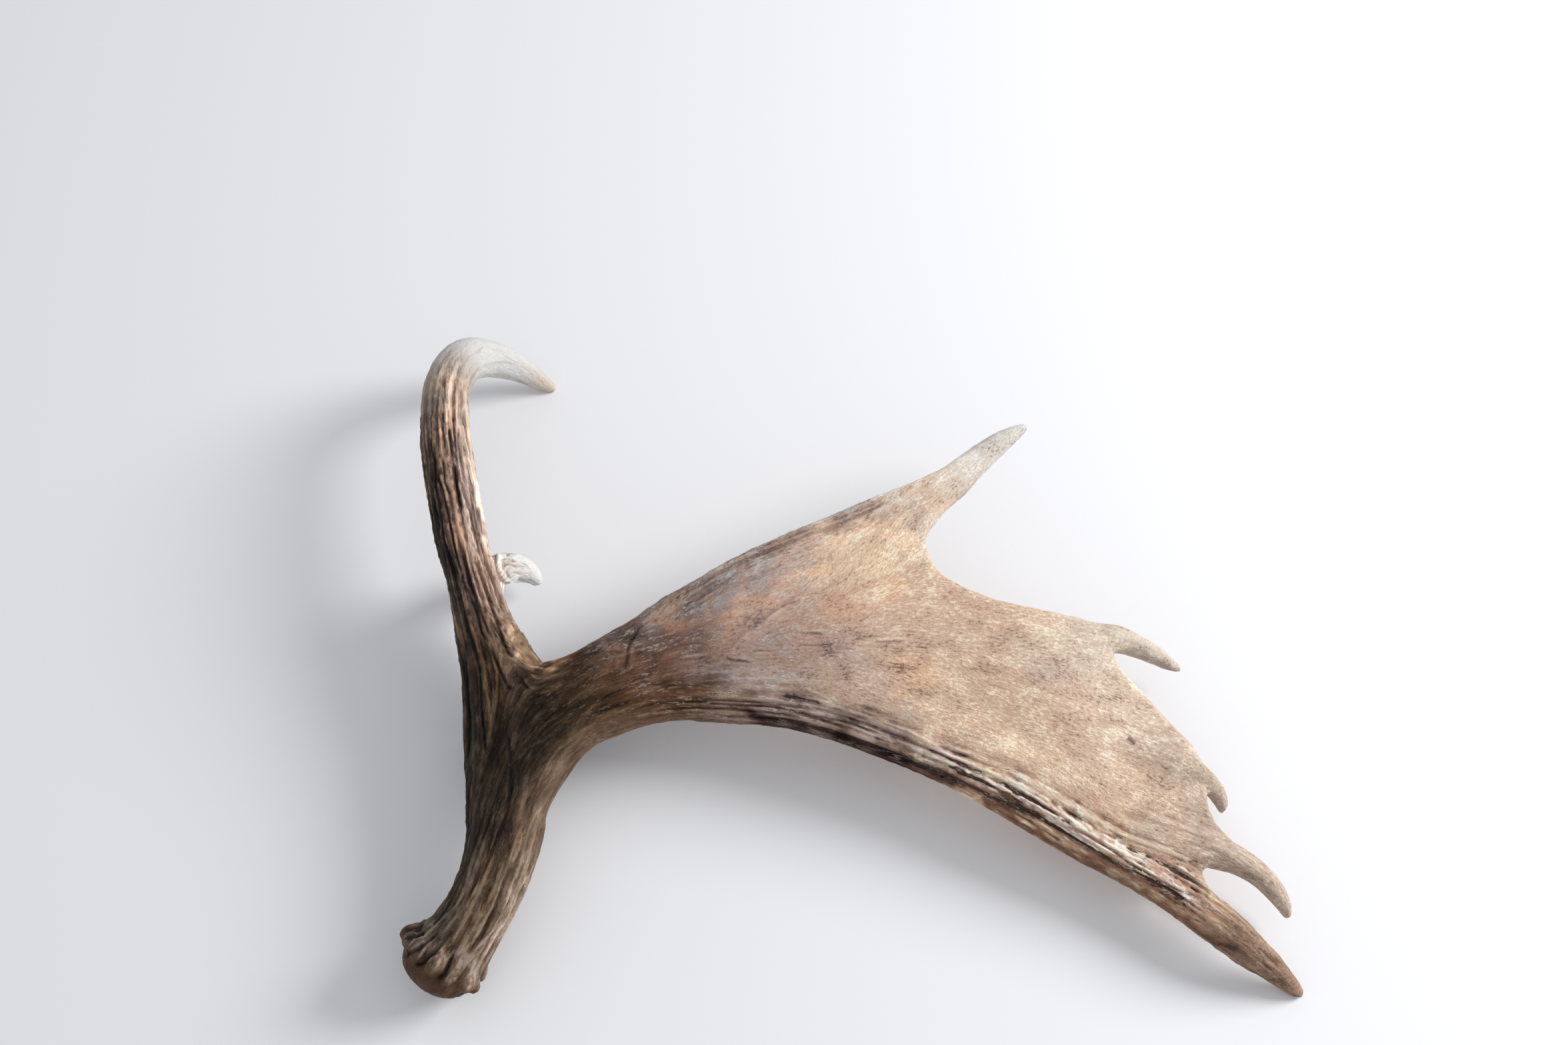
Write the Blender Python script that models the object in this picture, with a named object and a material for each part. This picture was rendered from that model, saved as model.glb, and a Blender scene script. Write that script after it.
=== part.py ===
"""A shed moose antler, lying on its hollow side.

Metres, +Z up, +X from the burr to the lowest palm tine, origin under the middle of its box.

The antler is drawn as its outer face is seen, in millimetres: across to the right, back away from
the viewer, and up. It is then turned so that it lies on its burr, its lowest palm tine and its brow
tine, and is parted at its main fork into the beam, the brow branch and the palm.
"""

import math

import bmesh
import bpy
import numpy as np
from mathutils import Matrix, Vector

MM = 0.001

# ---- driving dimensions, millimetres -------------------------------------------------------------

# The burr's middle and the way the beam leaves it.
BURR_CENTRE = (-258, 15, 29)
BURR_AXIS = (0.58, -0.05, 0.81)
# How thick the burr is for its width.
BURR_OVAL = 0.94
# The burr's lobes: how many there are, the lowest and highest radius of their round ends, and how
# far each may stray round the burr (in lobes), outwards and upwards.
BURR_LOBES = 13
BURR_LOBE_RADIUS = (4.4, 6.6)
BURR_LOBE_STRAY = (0.2, 1.4, 2.6)
# Each lobe is a ridge that comes down the beam and ends round: distance above the burr's middle,
# distance out from its axis, and radius as a share of the round end's.
BURR_LOBE = (
    (48, 17, 0.45), (35, 19, 0.55), (24, 20.5, 0.65), (13, 23.5, 0.8), (5, 29.5, 1.0), (-1, 33, 1.0),
)
BURR_SEED = 7
# The smooth seal under the burr: distance below the burr's middle, and diameter there.
SEAL = ((-20, 52), (-10, 57), (0, 60), (7, 60), (15, 56), (21, 45), (26, 22))

# A limb's stations: across, back, up, its width seen from the front, and its thickness.
BEAM = (
    (-252, 15, 33, 57, 56),
    (-241, 16, 49, 52, 51),
    (-231, 18, 66, 51, 48),
    (-223, 22, 84, 52, 48),
    (-218, 28, 102, 55, 49),
    (-215, 36, 120, 59, 50),
    (-215, 45, 139, 63, 51),
    (-214, 54, 158, 70, 52),
    (-214, 62, 180, 76, 53),
    (-215, 69, 203, 79, 53),
)
# The first brow tine, which carries the beam on past the fork.
BROW_TINE = (
    (-220, 76, 225, 75, 51),
    (-229, 83, 248, 62, 48),
    (-239, 90, 271, 52, 46),
    (-246, 98, 293, 45, 45),
    (-253, 106, 314, 42, 44),
    (-261, 114, 336, 42, 43),
    (-267, 122, 358, 42, 42),
    (-273, 132, 380, 42, 41),
    (-279, 144, 403, 42, 40),
    (-284, 156, 427, 41, 39),
    (-287, 169, 450, 40, 38),
    (-288, 182, 473, 38, 36),
    (-283, 197, 492, 38, 34),
    (-275, 212, 502, 36, 32),
    (-264, 226, 504, 33, 29),
    (-250, 242, 502, 29, 26),
    (-237, 255, 497, 24, 22),
    (-223, 266, 489, 18, 17),
    (-208, 274, 480, 9, 9),
)
# The beam's inner side, which sweeps round under the fork into the palm's lower border.
SHOULDER = (
    (-216, 38, 122, 52, 44),
    (-209, 49, 147, 57, 46),
    (-197, 57, 172, 60, 46),
    (-171, 64, 197, 50, 42),
    (-135, 68, 214, 41, 35),
    (-95, 69, 219, 35, 29),
)

SECOND_TINE = (
    (-222, 92, 240, 50, 46),
    (-236, 104, 266, 38, 44),
    (-245, 122, 292, 32, 42),
    (-246, 142, 311, 30, 38),
    (-238, 154, 320, 28, 32),
    (-226, 161, 321, 25, 27),
    (-215, 165, 317, 19, 19),
    (-206, 168, 308, 10, 10),
)
# The web that joins the second brow tine to the first.
BROW_WEB = (
    (-218, 84, 236, 50, 66),
    (-234, 98, 262, 34, 74),
    (-245, 114, 290, 25, 72),
    (-251, 126, 312, 20, 56),
    (-256, 132, 330, 14, 36),
)

# Stations inside the palm's sheet take their place, back, from the sheet.
IN_SHEET = None
# The palm's thick root, which thins out into the sheet.
PALM_ROOT = (
    (-228, 73, 203, 50, 30),
    (-205, 71, 213, 62, 45),
    (-180, 70, 222, 57, 44),
    (-150, 70, 234, 54, 36),
    (-115, IN_SHEET, 250, 62, 23),
    (-75, IN_SHEET, 262, 66, 12),
    (-35, IN_SHEET, 268, 60, 4),
)
# The thick lower border of the palm, from the fork to the tip of the lowest tine. It lies behind
# the palm's face, which ends above it in a ridge.
LOWER_BORDER = (
    (-200, 68, 200, 60, 44),
    (-170, 70, 205, 52, 42),
    (-145, 71, 209, 44, 37),
    (-113, 71, 217, 38, 33),
    (-82, 70, 219, 34, 30),
    (-51, 68, 217, 32, 28),
    (-4, 65, 213, 30, 26),
    (37, 61, 203, 29, 25),
    (71, 57, 191, 28, 25),
    (116, 51, 174, 27, 25),
    (157, 46, 154, 27, 24),
    (195, 39, 132, 27, 24),
    (232, 32, 111, 27, 23),
    (264, 26, 95, 27, 23),
    (294, 19, 79, 30, 23),
    (322, 12, 61, 33, 24),
    (338, 8, 48, 31, 24),
    (353, 7, 35, 27, 22),
    (367, 8, 24, 22, 20),
    (380, 11, 12, 16, 15),
    (392, 15, 1, 9, 9),
)
RIDGE_PROUD = 1.8
LOWER_RIDGE = (
    (-30, IN_SHEET, 232, 14, 4),
    (8, IN_SHEET, 226, 10, 8),
    (47, IN_SHEET, 214, 9, 9),
    (77, IN_SHEET, 202, 8, 9),
    (112, IN_SHEET, 186, 8, 9),
    (157, IN_SHEET, 160, 8, 9),
    (205, IN_SHEET, 136, 8, 9),
    (238, IN_SHEET, 115, 8, 9),
    (285, IN_SHEET, 89, 8, 9),
    (325, IN_SHEET, 67, 7, 8),
    (347, IN_SHEET, 49, 6, 4),
)
# The rolled upper border, from the fork to the root of the upper tine.
UPPER_BORDER = (
    (-210, 74, 210, 34, 28),
    (-188, 73, 224, 38, 31),
    (-166, 75, 238, 34, 28),
    (-140, 78, 255, 30, 24),
    (-110, 83, 275, 26, 20),
    (-75, 88, 298, 24, 18),
    (-35, 93, 322, 22, 16),
    (10, 97, 341, 20, 15),
    (50, 101, 356, 19, 15),
    (85, 105, 369, 20, 16),
    (110, 113, 381, 26, 19),
)
UPPER_TINE = (
    (10, IN_SHEET, 310, 60, 3),
    (45, IN_SHEET, 328, 60, 8),
    (76, IN_SHEET, 348, 54, 12),
    (103, IN_SHEET, 368, 45, 17),
    (122, 117, 382, 35, 21),
    (138, 128, 392, 30, 22),
    (157, 141, 408, 25, 20),
    (175, 153, 422, 21, 17),
    (191, 164, 433, 16, 13),
    (206, 173, 441, 8, 8),
)
SECOND_PALM_TINE = (
    (150, IN_SHEET, 250, 44, 3),
    (190, IN_SHEET, 260, 38, 8),
    (225, IN_SHEET, 266, 31, 12),
    (250, IN_SHEET, 267, 26, 17),
    (267, 87, 266, 23, 19),
    (285, 95, 259, 19, 18),
    (302, 103, 251, 16, 14),
    (315, 109, 243, 11, 10),
    (324, 113, 239, 6, 6),
)
THIRD_PALM_TINE = (
    (205, IN_SHEET, 207, 50, 3),
    (245, IN_SHEET, 198, 44, 8),
    (280, IN_SHEET, 186, 36, 12),
    (305, IN_SHEET, 173, 27, 17),
    (320, 53, 164, 22, 18),
    (331, 57, 156, 18, 17),
    (340, 62, 147, 15, 15),
    (345, 67, 137, 11, 12),
    (346, 71, 130, 6, 7),
)
FOURTH_PALM_TINE = (
    (215, IN_SHEET, 150, 46, 3),
    (255, IN_SHEET, 134, 42, 9),
    (290, IN_SHEET, 120, 36, 15),
    (313, IN_SHEET, 112, 30, 19),
    (332, 29, 106, 26, 21),
    (348, 26, 100, 23, 20),
    (362, 24, 91, 20, 18),
    (373, 23, 80, 18, 16),
    (381, 23, 68, 14, 13),
    (385, 24, 57, 7, 8),
)

# The palm's sheet: its outline seen from the front (across, up), without the tines.
PALM_OUTLINE = (
    (-184, 243), (-160, 258), (-131, 276), (-98, 300), (-58, 320), (-22, 341), (18, 358),
    (63, 377), (98, 391), (126, 398), (124, 375), (118, 358), (115, 345), (117, 331),
    (125, 319), (142, 309), (168, 299), (210, 290), (232, 285), (256, 278), (259, 262),
    (266, 245), (281, 228), (300, 206), (320, 185), (328, 170), (328, 152), (330, 136),
    (335, 126), (346, 114), (340, 104), (326, 100), (318, 94), (322, 84), (333, 71), (352, 44),
    (338, 60), (318, 72), (285, 90), (238, 115), (205, 136), (157, 160), (112, 185),
    (77, 201), (47, 213), (8, 222), (-51, 226), (-113, 222), (-160, 206), (-196, 200),
)
PALM_THICKNESS = 9.5
# How far back the sheet lies: across, up, back.
PALM_BOWL = (
    (-200, 200, 69), (-150, 232, 70), (-140, 260, 76), (-75, 300, 86), (10, 340, 95),
    (85, 371, 105), (128, 395, 121),
    (-82, 219, 63), (-4, 213, 57), (71, 191, 48), (157, 154, 36), (232, 111, 21),
    (294, 79, 9), (338, 48, 2), (367, 24, 0),
    (-40, 262, 64), (50, 262, 57), (60, 320, 76), (130, 245, 51), (120, 310, 76),
    (200, 205, 43), (215, 262, 63), (258, 268, 82),
    (250, 185, 42), (312, 190, 52), (328, 165, 53), (325, 110, 30), (270, 130, 28),
)

# The main ridges along the round limbs: how many, how high, and how far they twist on the way.
BEAM_RIDGES = (11, 1.3, 0.5)
BORDER_RIDGES = (7, 0.9, 0.6)
NO_RIDGES = (0, 0.0, 0.0)
# A ridged limb is also a little oval, as a share of its ridges' height, and the oval turns at every
# ring by so many radians. Limbs narrower than the full width have lower ridges.
SWAY = 0.6
SWAY_TURN = 0.05
FULL_WIDTH = 30
# How far a limb's two end points stand out, as shares of its width there.
START_POINT = 0.12
END_POINT = 0.3

# The main fork, seen from the front (across, up), and the far ends of the three cuts from it.
FORK = (-179, 252)
CUT_BELOW_BROW = (-420, 148)
CUT_BESIDE_PALM = (60, -140)
CUT_BETWEEN = (-60, 700)
BEAM_CORNERS = ((-420, -140),)
BROW_CORNERS = ((-420, 700),)
PALM_CORNERS = ((600, -140), (600, 700))
CUT_GAP = 0.3
CUT_DEPTH = (-200, 500)

# What it rests on: the zones (across, up; lowest and highest corner) that hold the three feet.
BURR_ZONE = ((-400, -50), (-200, 90))
LOWEST_TINE_ZONE = ((340, -50), (450, 45))
BROW_TIP_ZONE = ((-240, 450), (-180, 520))
START_TILT = math.radians(-64)
LEVELLING_ROUNDS = 12
WORN_OFF = 1.3

# How finely it is made.
LIMB_STEP = 4.0
LIMB_SIDES = 56
SHEET_VOXEL = 4.0
SKIN_VOXEL = 2.2
SKIN_SMOOTHING = 12
SMOOTHING_PULL = 0.5
TRIANGLES = 9200
SHARP_EDGE = math.radians(50)
BOWL_UNIT = 100
SMALLEST = 1e-9
SAME_PLACE = 1e-7

# Each node's bone: its material's name, colour and roughness.
BONE = {
    "beam": ("beam_bone", (0.30, 0.21, 0.13), 0.6),
    "brow_branch": ("brow_bone", (0.42, 0.27, 0.14), 0.6),
    "palm": ("palm_bone", (0.52, 0.37, 0.22), 0.55),
}

BACK = np.array((0.0, 1.0, 0.0))


# ---- shapes --------------------------------------------------------------------------------------

def clear_scene():
    for old in list(bpy.data.objects):
        bpy.data.objects.remove(old, do_unlink=True)


def smooth_path(stations, step):
    """Evenly spaced stations on a smooth curve through the given ones."""
    rows = np.array(stations, float)
    strides = np.linalg.norm(np.diff(rows[:, :3], axis=0), axis=1)
    reach = np.concatenate(([0.0], np.cumsum(strides)))
    slopes = np.gradient(rows, reach, axis=0)
    at = np.linspace(0.0, reach[-1], max(3, round(reach[-1] / step) + 1))
    left = np.clip(np.searchsorted(reach, at, side="right") - 1, 0, len(rows) - 2)
    span = (reach[left + 1] - reach[left])[:, None]
    t = (at[:, None] - reach[left][:, None]) / span
    return ((1 + 2 * t) * (1 - t) ** 2 * rows[left]
            + t * (1 - t) ** 2 * span * slopes[left]
            + t * t * (3 - 2 * t) * rows[left + 1]
            + t * t * (t - 1) * span * slopes[left + 1])


def unit(rows):
    return rows / np.linalg.norm(rows, axis=-1, keepdims=True)


def rooted(stations, bowl, proud=0.0):
    """Stations with a sixth number, 1 inside the sheet, where they also take the sheet's depth."""
    placed = []
    for across, back, up, wide, thick in stations:
        inside = back is IN_SHEET
        if inside:
            back = float(bowl(np.array(((across, up),)))[0]) - proud
        placed.append((across, back, up, wide, thick, float(inside)))
    return placed


def add_limb(bm, stations, ridges=NO_RIDGES, bowl=None):
    """A closed round limb through the stations, oval across, with ridges along it."""
    path = smooth_path(stations, LIMB_STEP)
    centres = path[:, :3]
    along = unit(np.gradient(centres, axis=0))
    side = unit(np.cross(along, BACK))
    flat = np.cross(side, along)
    turn = np.linspace(0.0, 2 * math.pi, LIMB_SIDES, endpoint=False)
    count, height, twist = ridges
    rings = []
    for i, row in enumerate(path):
        phase = count * turn + twist * count * i / len(path) * math.pi
        swell = height * (np.cos(phase) + SWAY * np.cos(2 * turn + SWAY_TURN * i))
        swell *= min(1.0, row[3] / FULL_WIDTH)
        wide = row[3] / 2 + swell
        thick = row[4] / 2 + swell
        ring = (centres[i]
                + side[i] * (wide * np.cos(turn))[:, None]
                + flat[i] * (thick * np.sin(turn))[:, None])
        if bowl:
            # Inside the sheet, the section bends with it.
            bend = bowl(ring[:, (0, 2)]) - bowl(centres[i:i + 1, (0, 2)])
            tilt = ring[:, 1] - centres[i, 1] - flat[i, 1] * thick * np.sin(turn)
            ring[:, 1] += np.clip(row[5], 0.0, 1.0) * (bend - tilt)
        rings.append([bm.verts.new(point) for point in ring])
    start = bm.verts.new(centres[0] - along[0] * path[0][3] * START_POINT)
    end = bm.verts.new(centres[-1] + along[-1] * path[-1][3] * END_POINT)
    for k in range(LIMB_SIDES):
        n = (k + 1) % LIMB_SIDES
        for low, high in zip(rings, rings[1:]):
            bm.faces.new((low[k], low[n], high[n], high[k]))
        bm.faces.new((rings[0][n], rings[0][k], start))
        bm.faces.new((rings[-1][k], rings[-1][n], end))


def add_burr(bm):
    """The seal's dome, and round it the lobes in which the beam's ridges end."""
    axis = unit(np.array(BURR_AXIS))
    centre = np.array(BURR_CENTRE, float)
    dome = []
    for below, wide in reversed(SEAL):
        place = centre - axis * below
        dome.append((*place, wide, wide * BURR_OVAL))
    add_limb(bm, dome)
    side = unit(np.cross(axis, BACK))
    flat = np.cross(side, axis)
    chance = np.random.default_rng(BURR_SEED)
    round_stray, out_stray, up_stray = BURR_LOBE_STRAY
    for k in range(BURR_LOBES):
        angle = 2 * math.pi * (k + chance.uniform(-round_stray, round_stray)) / BURR_LOBES
        radius = chance.uniform(*BURR_LOBE_RADIUS)
        outward = chance.uniform(-out_stray, out_stray)
        upward = chance.uniform(-up_stray, up_stray)
        way = side * math.cos(angle) + flat * BURR_OVAL * math.sin(angle)
        lobe = []
        for rise, out, share in BURR_LOBE:
            place = centre + axis * (rise + upward) + way * (out + outward)
            lobe.append((*place, 2 * radius * share, 2 * radius * share))
        add_limb(bm, lobe)
        end = Matrix.Translation(lobe[-1][:3])
        bmesh.ops.create_icosphere(bm, subdivisions=2, radius=radius, matrix=end)


def fit_bowl(points):
    """The smooth surface, back over across and up, that passes through the points."""
    rows = np.array(points, float)
    places = rows[:, :2] / BOWL_UNIT

    def swell(a, b):
        apart = np.linalg.norm(a[:, None, :] - b[None, :, :], axis=2)
        return apart ** 2 * np.log(apart + SMALLEST)

    count = len(rows)
    plane = np.column_stack((np.ones(count), places))
    system = np.zeros((count + 3, count + 3))
    system[:count, :count] = swell(places, places)
    system[:count, count:] = plane
    system[count:, :count] = plane.T
    weights = np.linalg.solve(system, np.concatenate((rows[:, 2], np.zeros(3))))

    def back_at(across_up):
        spots = across_up / BOWL_UNIT
        level = np.column_stack((np.ones(len(spots)), spots)) @ weights[count:]
        return swell(spots, places) @ weights[:count] + level

    return back_at


def new_object(name, bm):
    bmesh.ops.recalc_face_normals(bm, faces=bm.faces)
    mesh = bpy.data.meshes.new(name)
    bm.to_mesh(mesh)
    bm.free()
    made = bpy.data.objects.new(name, mesh)
    bpy.context.collection.objects.link(made)
    return made


def settle(made):
    """Turn an object's modifiers into its own mesh."""
    graph = bpy.context.evaluated_depsgraph_get()
    mesh = bpy.data.meshes.new_from_object(made.evaluated_get(graph))
    made.modifiers.clear()
    made.data = mesh
    return made


def remesh(made, voxel):
    skin = made.modifiers.new("skin", "REMESH")
    skin.mode = "VOXEL"
    skin.voxel_size = voxel


def coordinates(mesh):
    spots = np.empty(len(mesh.vertices) * 3, np.float32)
    mesh.vertices.foreach_get("co", spots)
    return spots.reshape(-1, 3).astype(float)


def palm_sheet(bowl):
    """The palm without its tines: a flat slab cut to its outline, then bent to its bowl."""
    bm = bmesh.new()
    corners = [bm.verts.new((across, -PALM_THICKNESS / 2, up)) for across, up in PALM_OUTLINE]
    face = bm.faces.new(corners)
    grown = bmesh.ops.extrude_face_region(bm, geom=[face])
    moved = [item for item in grown["geom"] if isinstance(item, bmesh.types.BMVert)]
    bmesh.ops.translate(bm, verts=moved, vec=(0, PALM_THICKNESS, 0))
    bmesh.ops.triangulate(bm, faces=bm.faces)
    slab = new_object("palm_sheet", bm)
    remesh(slab, SHEET_VOXEL)
    settle(slab)
    spots = coordinates(slab.data)
    spots[:, 1] += bowl(spots[:, (0, 2)])
    slab.data.vertices.foreach_set("co", spots.astype(np.float32).ravel())
    return slab


def whole_antler():
    """Every limb, the burr and the palm's sheet grown together under one skin."""
    bowl = fit_bowl(PALM_BOWL)
    bm = bmesh.new()
    add_burr(bm)
    add_limb(bm, BEAM + BROW_TINE, BEAM_RIDGES)
    add_limb(bm, SHOULDER)
    add_limb(bm, SECOND_TINE)
    add_limb(bm, BROW_WEB)
    add_limb(bm, rooted(PALM_ROOT, bowl), bowl=bowl)
    add_limb(bm, LOWER_BORDER, BORDER_RIDGES)
    add_limb(bm, rooted(LOWER_RIDGE, bowl, RIDGE_PROUD), bowl=bowl)
    add_limb(bm, UPPER_BORDER)
    for tine in (UPPER_TINE, SECOND_PALM_TINE, THIRD_PALM_TINE, FOURTH_PALM_TINE):
        add_limb(bm, rooted(tine, bowl), bowl=bowl)
    sheet = palm_sheet(bowl)
    bm.from_mesh(sheet.data)
    bpy.data.objects.remove(sheet, do_unlink=True)
    antler = new_object("antler", bm)
    remesh(antler, SKIN_VOXEL)
    soften = antler.modifiers.new("soften", "SMOOTH")
    soften.factor = SMOOTHING_PULL
    soften.iterations = SKIN_SMOOTHING
    settle(antler)
    fewer = antler.modifiers.new("fewer", "DECIMATE")
    antler.data.calc_loop_triangles()
    fewer.ratio = TRIANGLES / len(antler.data.loop_triangles)
    fewer.use_collapse_triangulate = True
    return settle(antler)


# ---- laying it down ------------------------------------------------------------------------------

def feet(points, turned):
    """The lowest point, once turned, in each of the three zones it rests on."""
    found = []
    for (left, bottom), (right, top) in (BURR_ZONE, LOWEST_TINE_ZONE, BROW_TIP_ZONE):
        inside = ((points[:, 0] > left) & (points[:, 0] < right)
                  & (points[:, 2] > bottom) & (points[:, 2] < top))
        zone = turned[inside]
        found.append(zone[np.argmin(zone[:, 2])])
    return found


def resting_matrix(points):
    """Millimetres as drawn to metres as it lies, with the origin under the middle of its box."""
    turn = Matrix.Rotation(START_TILT, 3, "X")
    for _ in range(LEVELLING_ROUNDS):
        turned = points @ np.array(turn).T
        first, second, third = feet(points, turned)
        upward = Vector(np.cross(second - first, third - first))
        turn = upward.rotation_difference(Vector((0, 0, 1))).to_matrix() @ turn
    turned = points @ np.array(turn).T
    low = turned.min(axis=0)
    high = turned.max(axis=0)
    middle = Vector(((low[0] + high[0]) / 2, (low[1] + high[1]) / 2, low[2] + WORN_OFF))
    return Matrix.Scale(MM, 4) @ Matrix.Translation(-middle) @ turn.to_4x4()


# ---- parting it at the fork ----------------------------------------------------------------------

def sector(name, cut_one, cut_two, corners):
    """A cutter that keeps what lies between two of the cuts, half a gap away from each."""
    fork = Vector(FORK)
    one = (Vector(cut_one) - fork).normalized()
    two = (Vector(cut_two) - fork).normalized()
    halfway = one.angle(two) / 2
    inward = (one + two).normalized()
    shift = inward * (CUT_GAP / 2 / math.sin(halfway))
    outline = [fork + shift, Vector(cut_one) + shift]
    outline += [Vector(corner) for corner in corners]
    outline.append(Vector(cut_two) + shift)
    near, far = CUT_DEPTH
    bm = bmesh.new()
    face = bm.faces.new([bm.verts.new((across, near, up)) for across, up in outline])
    grown = bmesh.ops.extrude_face_region(bm, geom=[face])
    moved = [item for item in grown["geom"] if isinstance(item, bmesh.types.BMVert)]
    bmesh.ops.translate(bm, verts=moved, vec=(0, far - near, 0))
    cutter = new_object(name, bm)
    cutter.hide_render = True
    cutter.display_type = "WIRE"
    return cutter


def material(node):
    name, colour, roughness = BONE[node]
    made = bpy.data.materials.new(name)
    made.use_nodes = True
    shader = made.node_tree.nodes["Principled BSDF"]
    shader.inputs["Base Color"].default_value = (*colour, 1.0)
    shader.inputs["Roughness"].default_value = roughness
    shader.inputs["Metallic"].default_value = 0.0
    made.diffuse_color = (*colour, 1.0)
    return made


def cut_part(antler, name, cutter, placing, look):
    """One branch of the antler: what its cutter keeps, laid down, with its foot worn flat."""
    piece = bpy.data.objects.new(name, antler.data.copy())
    bpy.context.collection.objects.link(piece)
    keep = piece.modifiers.new("keep", "BOOLEAN")
    keep.operation = "INTERSECT"
    keep.object = cutter
    settle(piece)
    bm = bmesh.new()
    bm.from_mesh(piece.data)
    bm.transform(placing)
    worn = bmesh.ops.bisect_plane(bm, geom=[*bm.verts, *bm.edges, *bm.faces], dist=SAME_PLACE,
                                  plane_co=(0, 0, 0), plane_no=(0, 0, 1), clear_inner=True)
    rim = [item for item in worn["geom_cut"] if isinstance(item, bmesh.types.BMEdge)]
    bmesh.ops.holes_fill(bm, edges=rim)
    bmesh.ops.triangulate(bm, faces=bm.faces)
    bm.to_mesh(piece.data)
    bm.free()
    piece.data.materials.clear()
    piece.data.materials.append(look)
    piece.data.shade_smooth()
    piece.data.set_sharp_from_angle(angle=SHARP_EDGE)
    return piece


def main():
    clear_scene()
    antler = whole_antler()
    placing = resting_matrix(coordinates(antler.data))
    cutters = (
        ("beam", sector("beam_cutter", CUT_BELOW_BROW, CUT_BESIDE_PALM, BEAM_CORNERS)),
        ("brow_branch", sector("brow_cutter", CUT_BETWEEN, CUT_BELOW_BROW, BROW_CORNERS)),
        ("palm", sector("palm_cutter", CUT_BESIDE_PALM, CUT_BETWEEN, PALM_CORNERS)),
    )
    for name, cutter in cutters:
        cut_part(antler, name, cutter, placing, material(name))
        bpy.data.objects.remove(cutter, do_unlink=True)
    bpy.data.objects.remove(antler, do_unlink=True)


main()
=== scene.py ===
import math
from concurrent.futures import ThreadPoolExecutor

import bmesh
import bpy
import numpy as np
from mathutils import Matrix, Vector


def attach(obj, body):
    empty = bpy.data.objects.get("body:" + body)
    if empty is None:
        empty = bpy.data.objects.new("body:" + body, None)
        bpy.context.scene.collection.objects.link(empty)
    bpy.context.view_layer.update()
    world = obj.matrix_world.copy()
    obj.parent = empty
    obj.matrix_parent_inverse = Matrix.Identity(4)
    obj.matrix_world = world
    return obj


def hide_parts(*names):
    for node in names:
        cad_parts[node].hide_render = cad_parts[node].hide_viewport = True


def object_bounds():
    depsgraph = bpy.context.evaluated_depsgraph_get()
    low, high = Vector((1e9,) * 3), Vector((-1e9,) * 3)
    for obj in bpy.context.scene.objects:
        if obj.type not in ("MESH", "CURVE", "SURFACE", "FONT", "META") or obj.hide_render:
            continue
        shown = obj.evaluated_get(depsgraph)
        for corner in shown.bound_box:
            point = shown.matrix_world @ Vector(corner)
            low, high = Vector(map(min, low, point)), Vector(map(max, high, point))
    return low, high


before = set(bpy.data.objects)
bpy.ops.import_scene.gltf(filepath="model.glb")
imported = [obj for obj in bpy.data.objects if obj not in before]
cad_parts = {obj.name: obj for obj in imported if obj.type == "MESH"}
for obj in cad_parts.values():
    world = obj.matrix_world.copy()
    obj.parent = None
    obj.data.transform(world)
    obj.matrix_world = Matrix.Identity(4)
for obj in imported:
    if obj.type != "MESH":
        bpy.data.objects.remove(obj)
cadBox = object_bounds()

# A shed moose antler on a pale floor. The frame's solids are grown together into one skin, the
# grain of the bone is combed along every limb, and the skin is parted again at the fork into the
# beam, the brow branch and the palm.
#
# Places on the antler are given as the camera sees it: across, back and up, in millimetres.

mm = 0.001

viewpoint = dict(
    place=(-0.00669, -0.55199, 1.35351),    # metres
    down=63.290, swing=3.145, roll=-3.509,  # degrees
    lens=40.0, sensor=36.0, sight=50.0,
    seenFrom=(0.0, -1306.7, 359.5),         # the same place, as across, back and up
)

skin = dict(
    cell=1.8,        # mm, halved by one subdivision
    swell=0.35,                             # mm, closes the gaps between the solids
    join=1e-7,                              # metres
    softenings=16, loosening=0.5, tightening=-0.52,
    finerSoftenings=2,
)


def say(*words):
    print("scene:", *words, flush=True)


# The camera, whose axes are across, back and up.

def cameraAxes():
    down, swing, roll = (math.radians(viewpoint[key]) for key in ("down", "swing", "roll"))
    back = np.array((-math.sin(swing) * math.cos(down), math.cos(swing) * math.cos(down),
                     -math.sin(down)))
    level = np.cross(back, (0.0, 0.0, 1.0))
    level /= np.linalg.norm(level)
    rise = np.cross(level, back)
    across = math.cos(roll) * level + math.sin(roll) * rise
    up = -math.sin(roll) * level + math.cos(roll) * rise
    return np.column_stack((across, back, up))


faceAxes = cameraAxes()


def asSeen(places):
    return (places - np.array(viewpoint["place"])) @ faceAxes / mm + np.array(viewpoint["seenFrom"])


def addCamera():
    data = bpy.data.cameras.new("camera")
    data.lens = viewpoint["lens"]
    data.sensor_width = viewpoint["sensor"]
    data.clip_end = viewpoint["sight"]
    camera = bpy.data.objects.new("camera", data)
    bpy.context.scene.collection.objects.link(camera)
    across, back, up = faceAxes.T
    turn = Matrix(np.column_stack((across, up, -back)).tolist()).to_4x4()
    camera.matrix_world = Matrix.Translation(viewpoint["place"]) @ turn
    bpy.context.scene.camera = camera


# Paths along the antler, which the grain follows from the burr to every tip.

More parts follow.
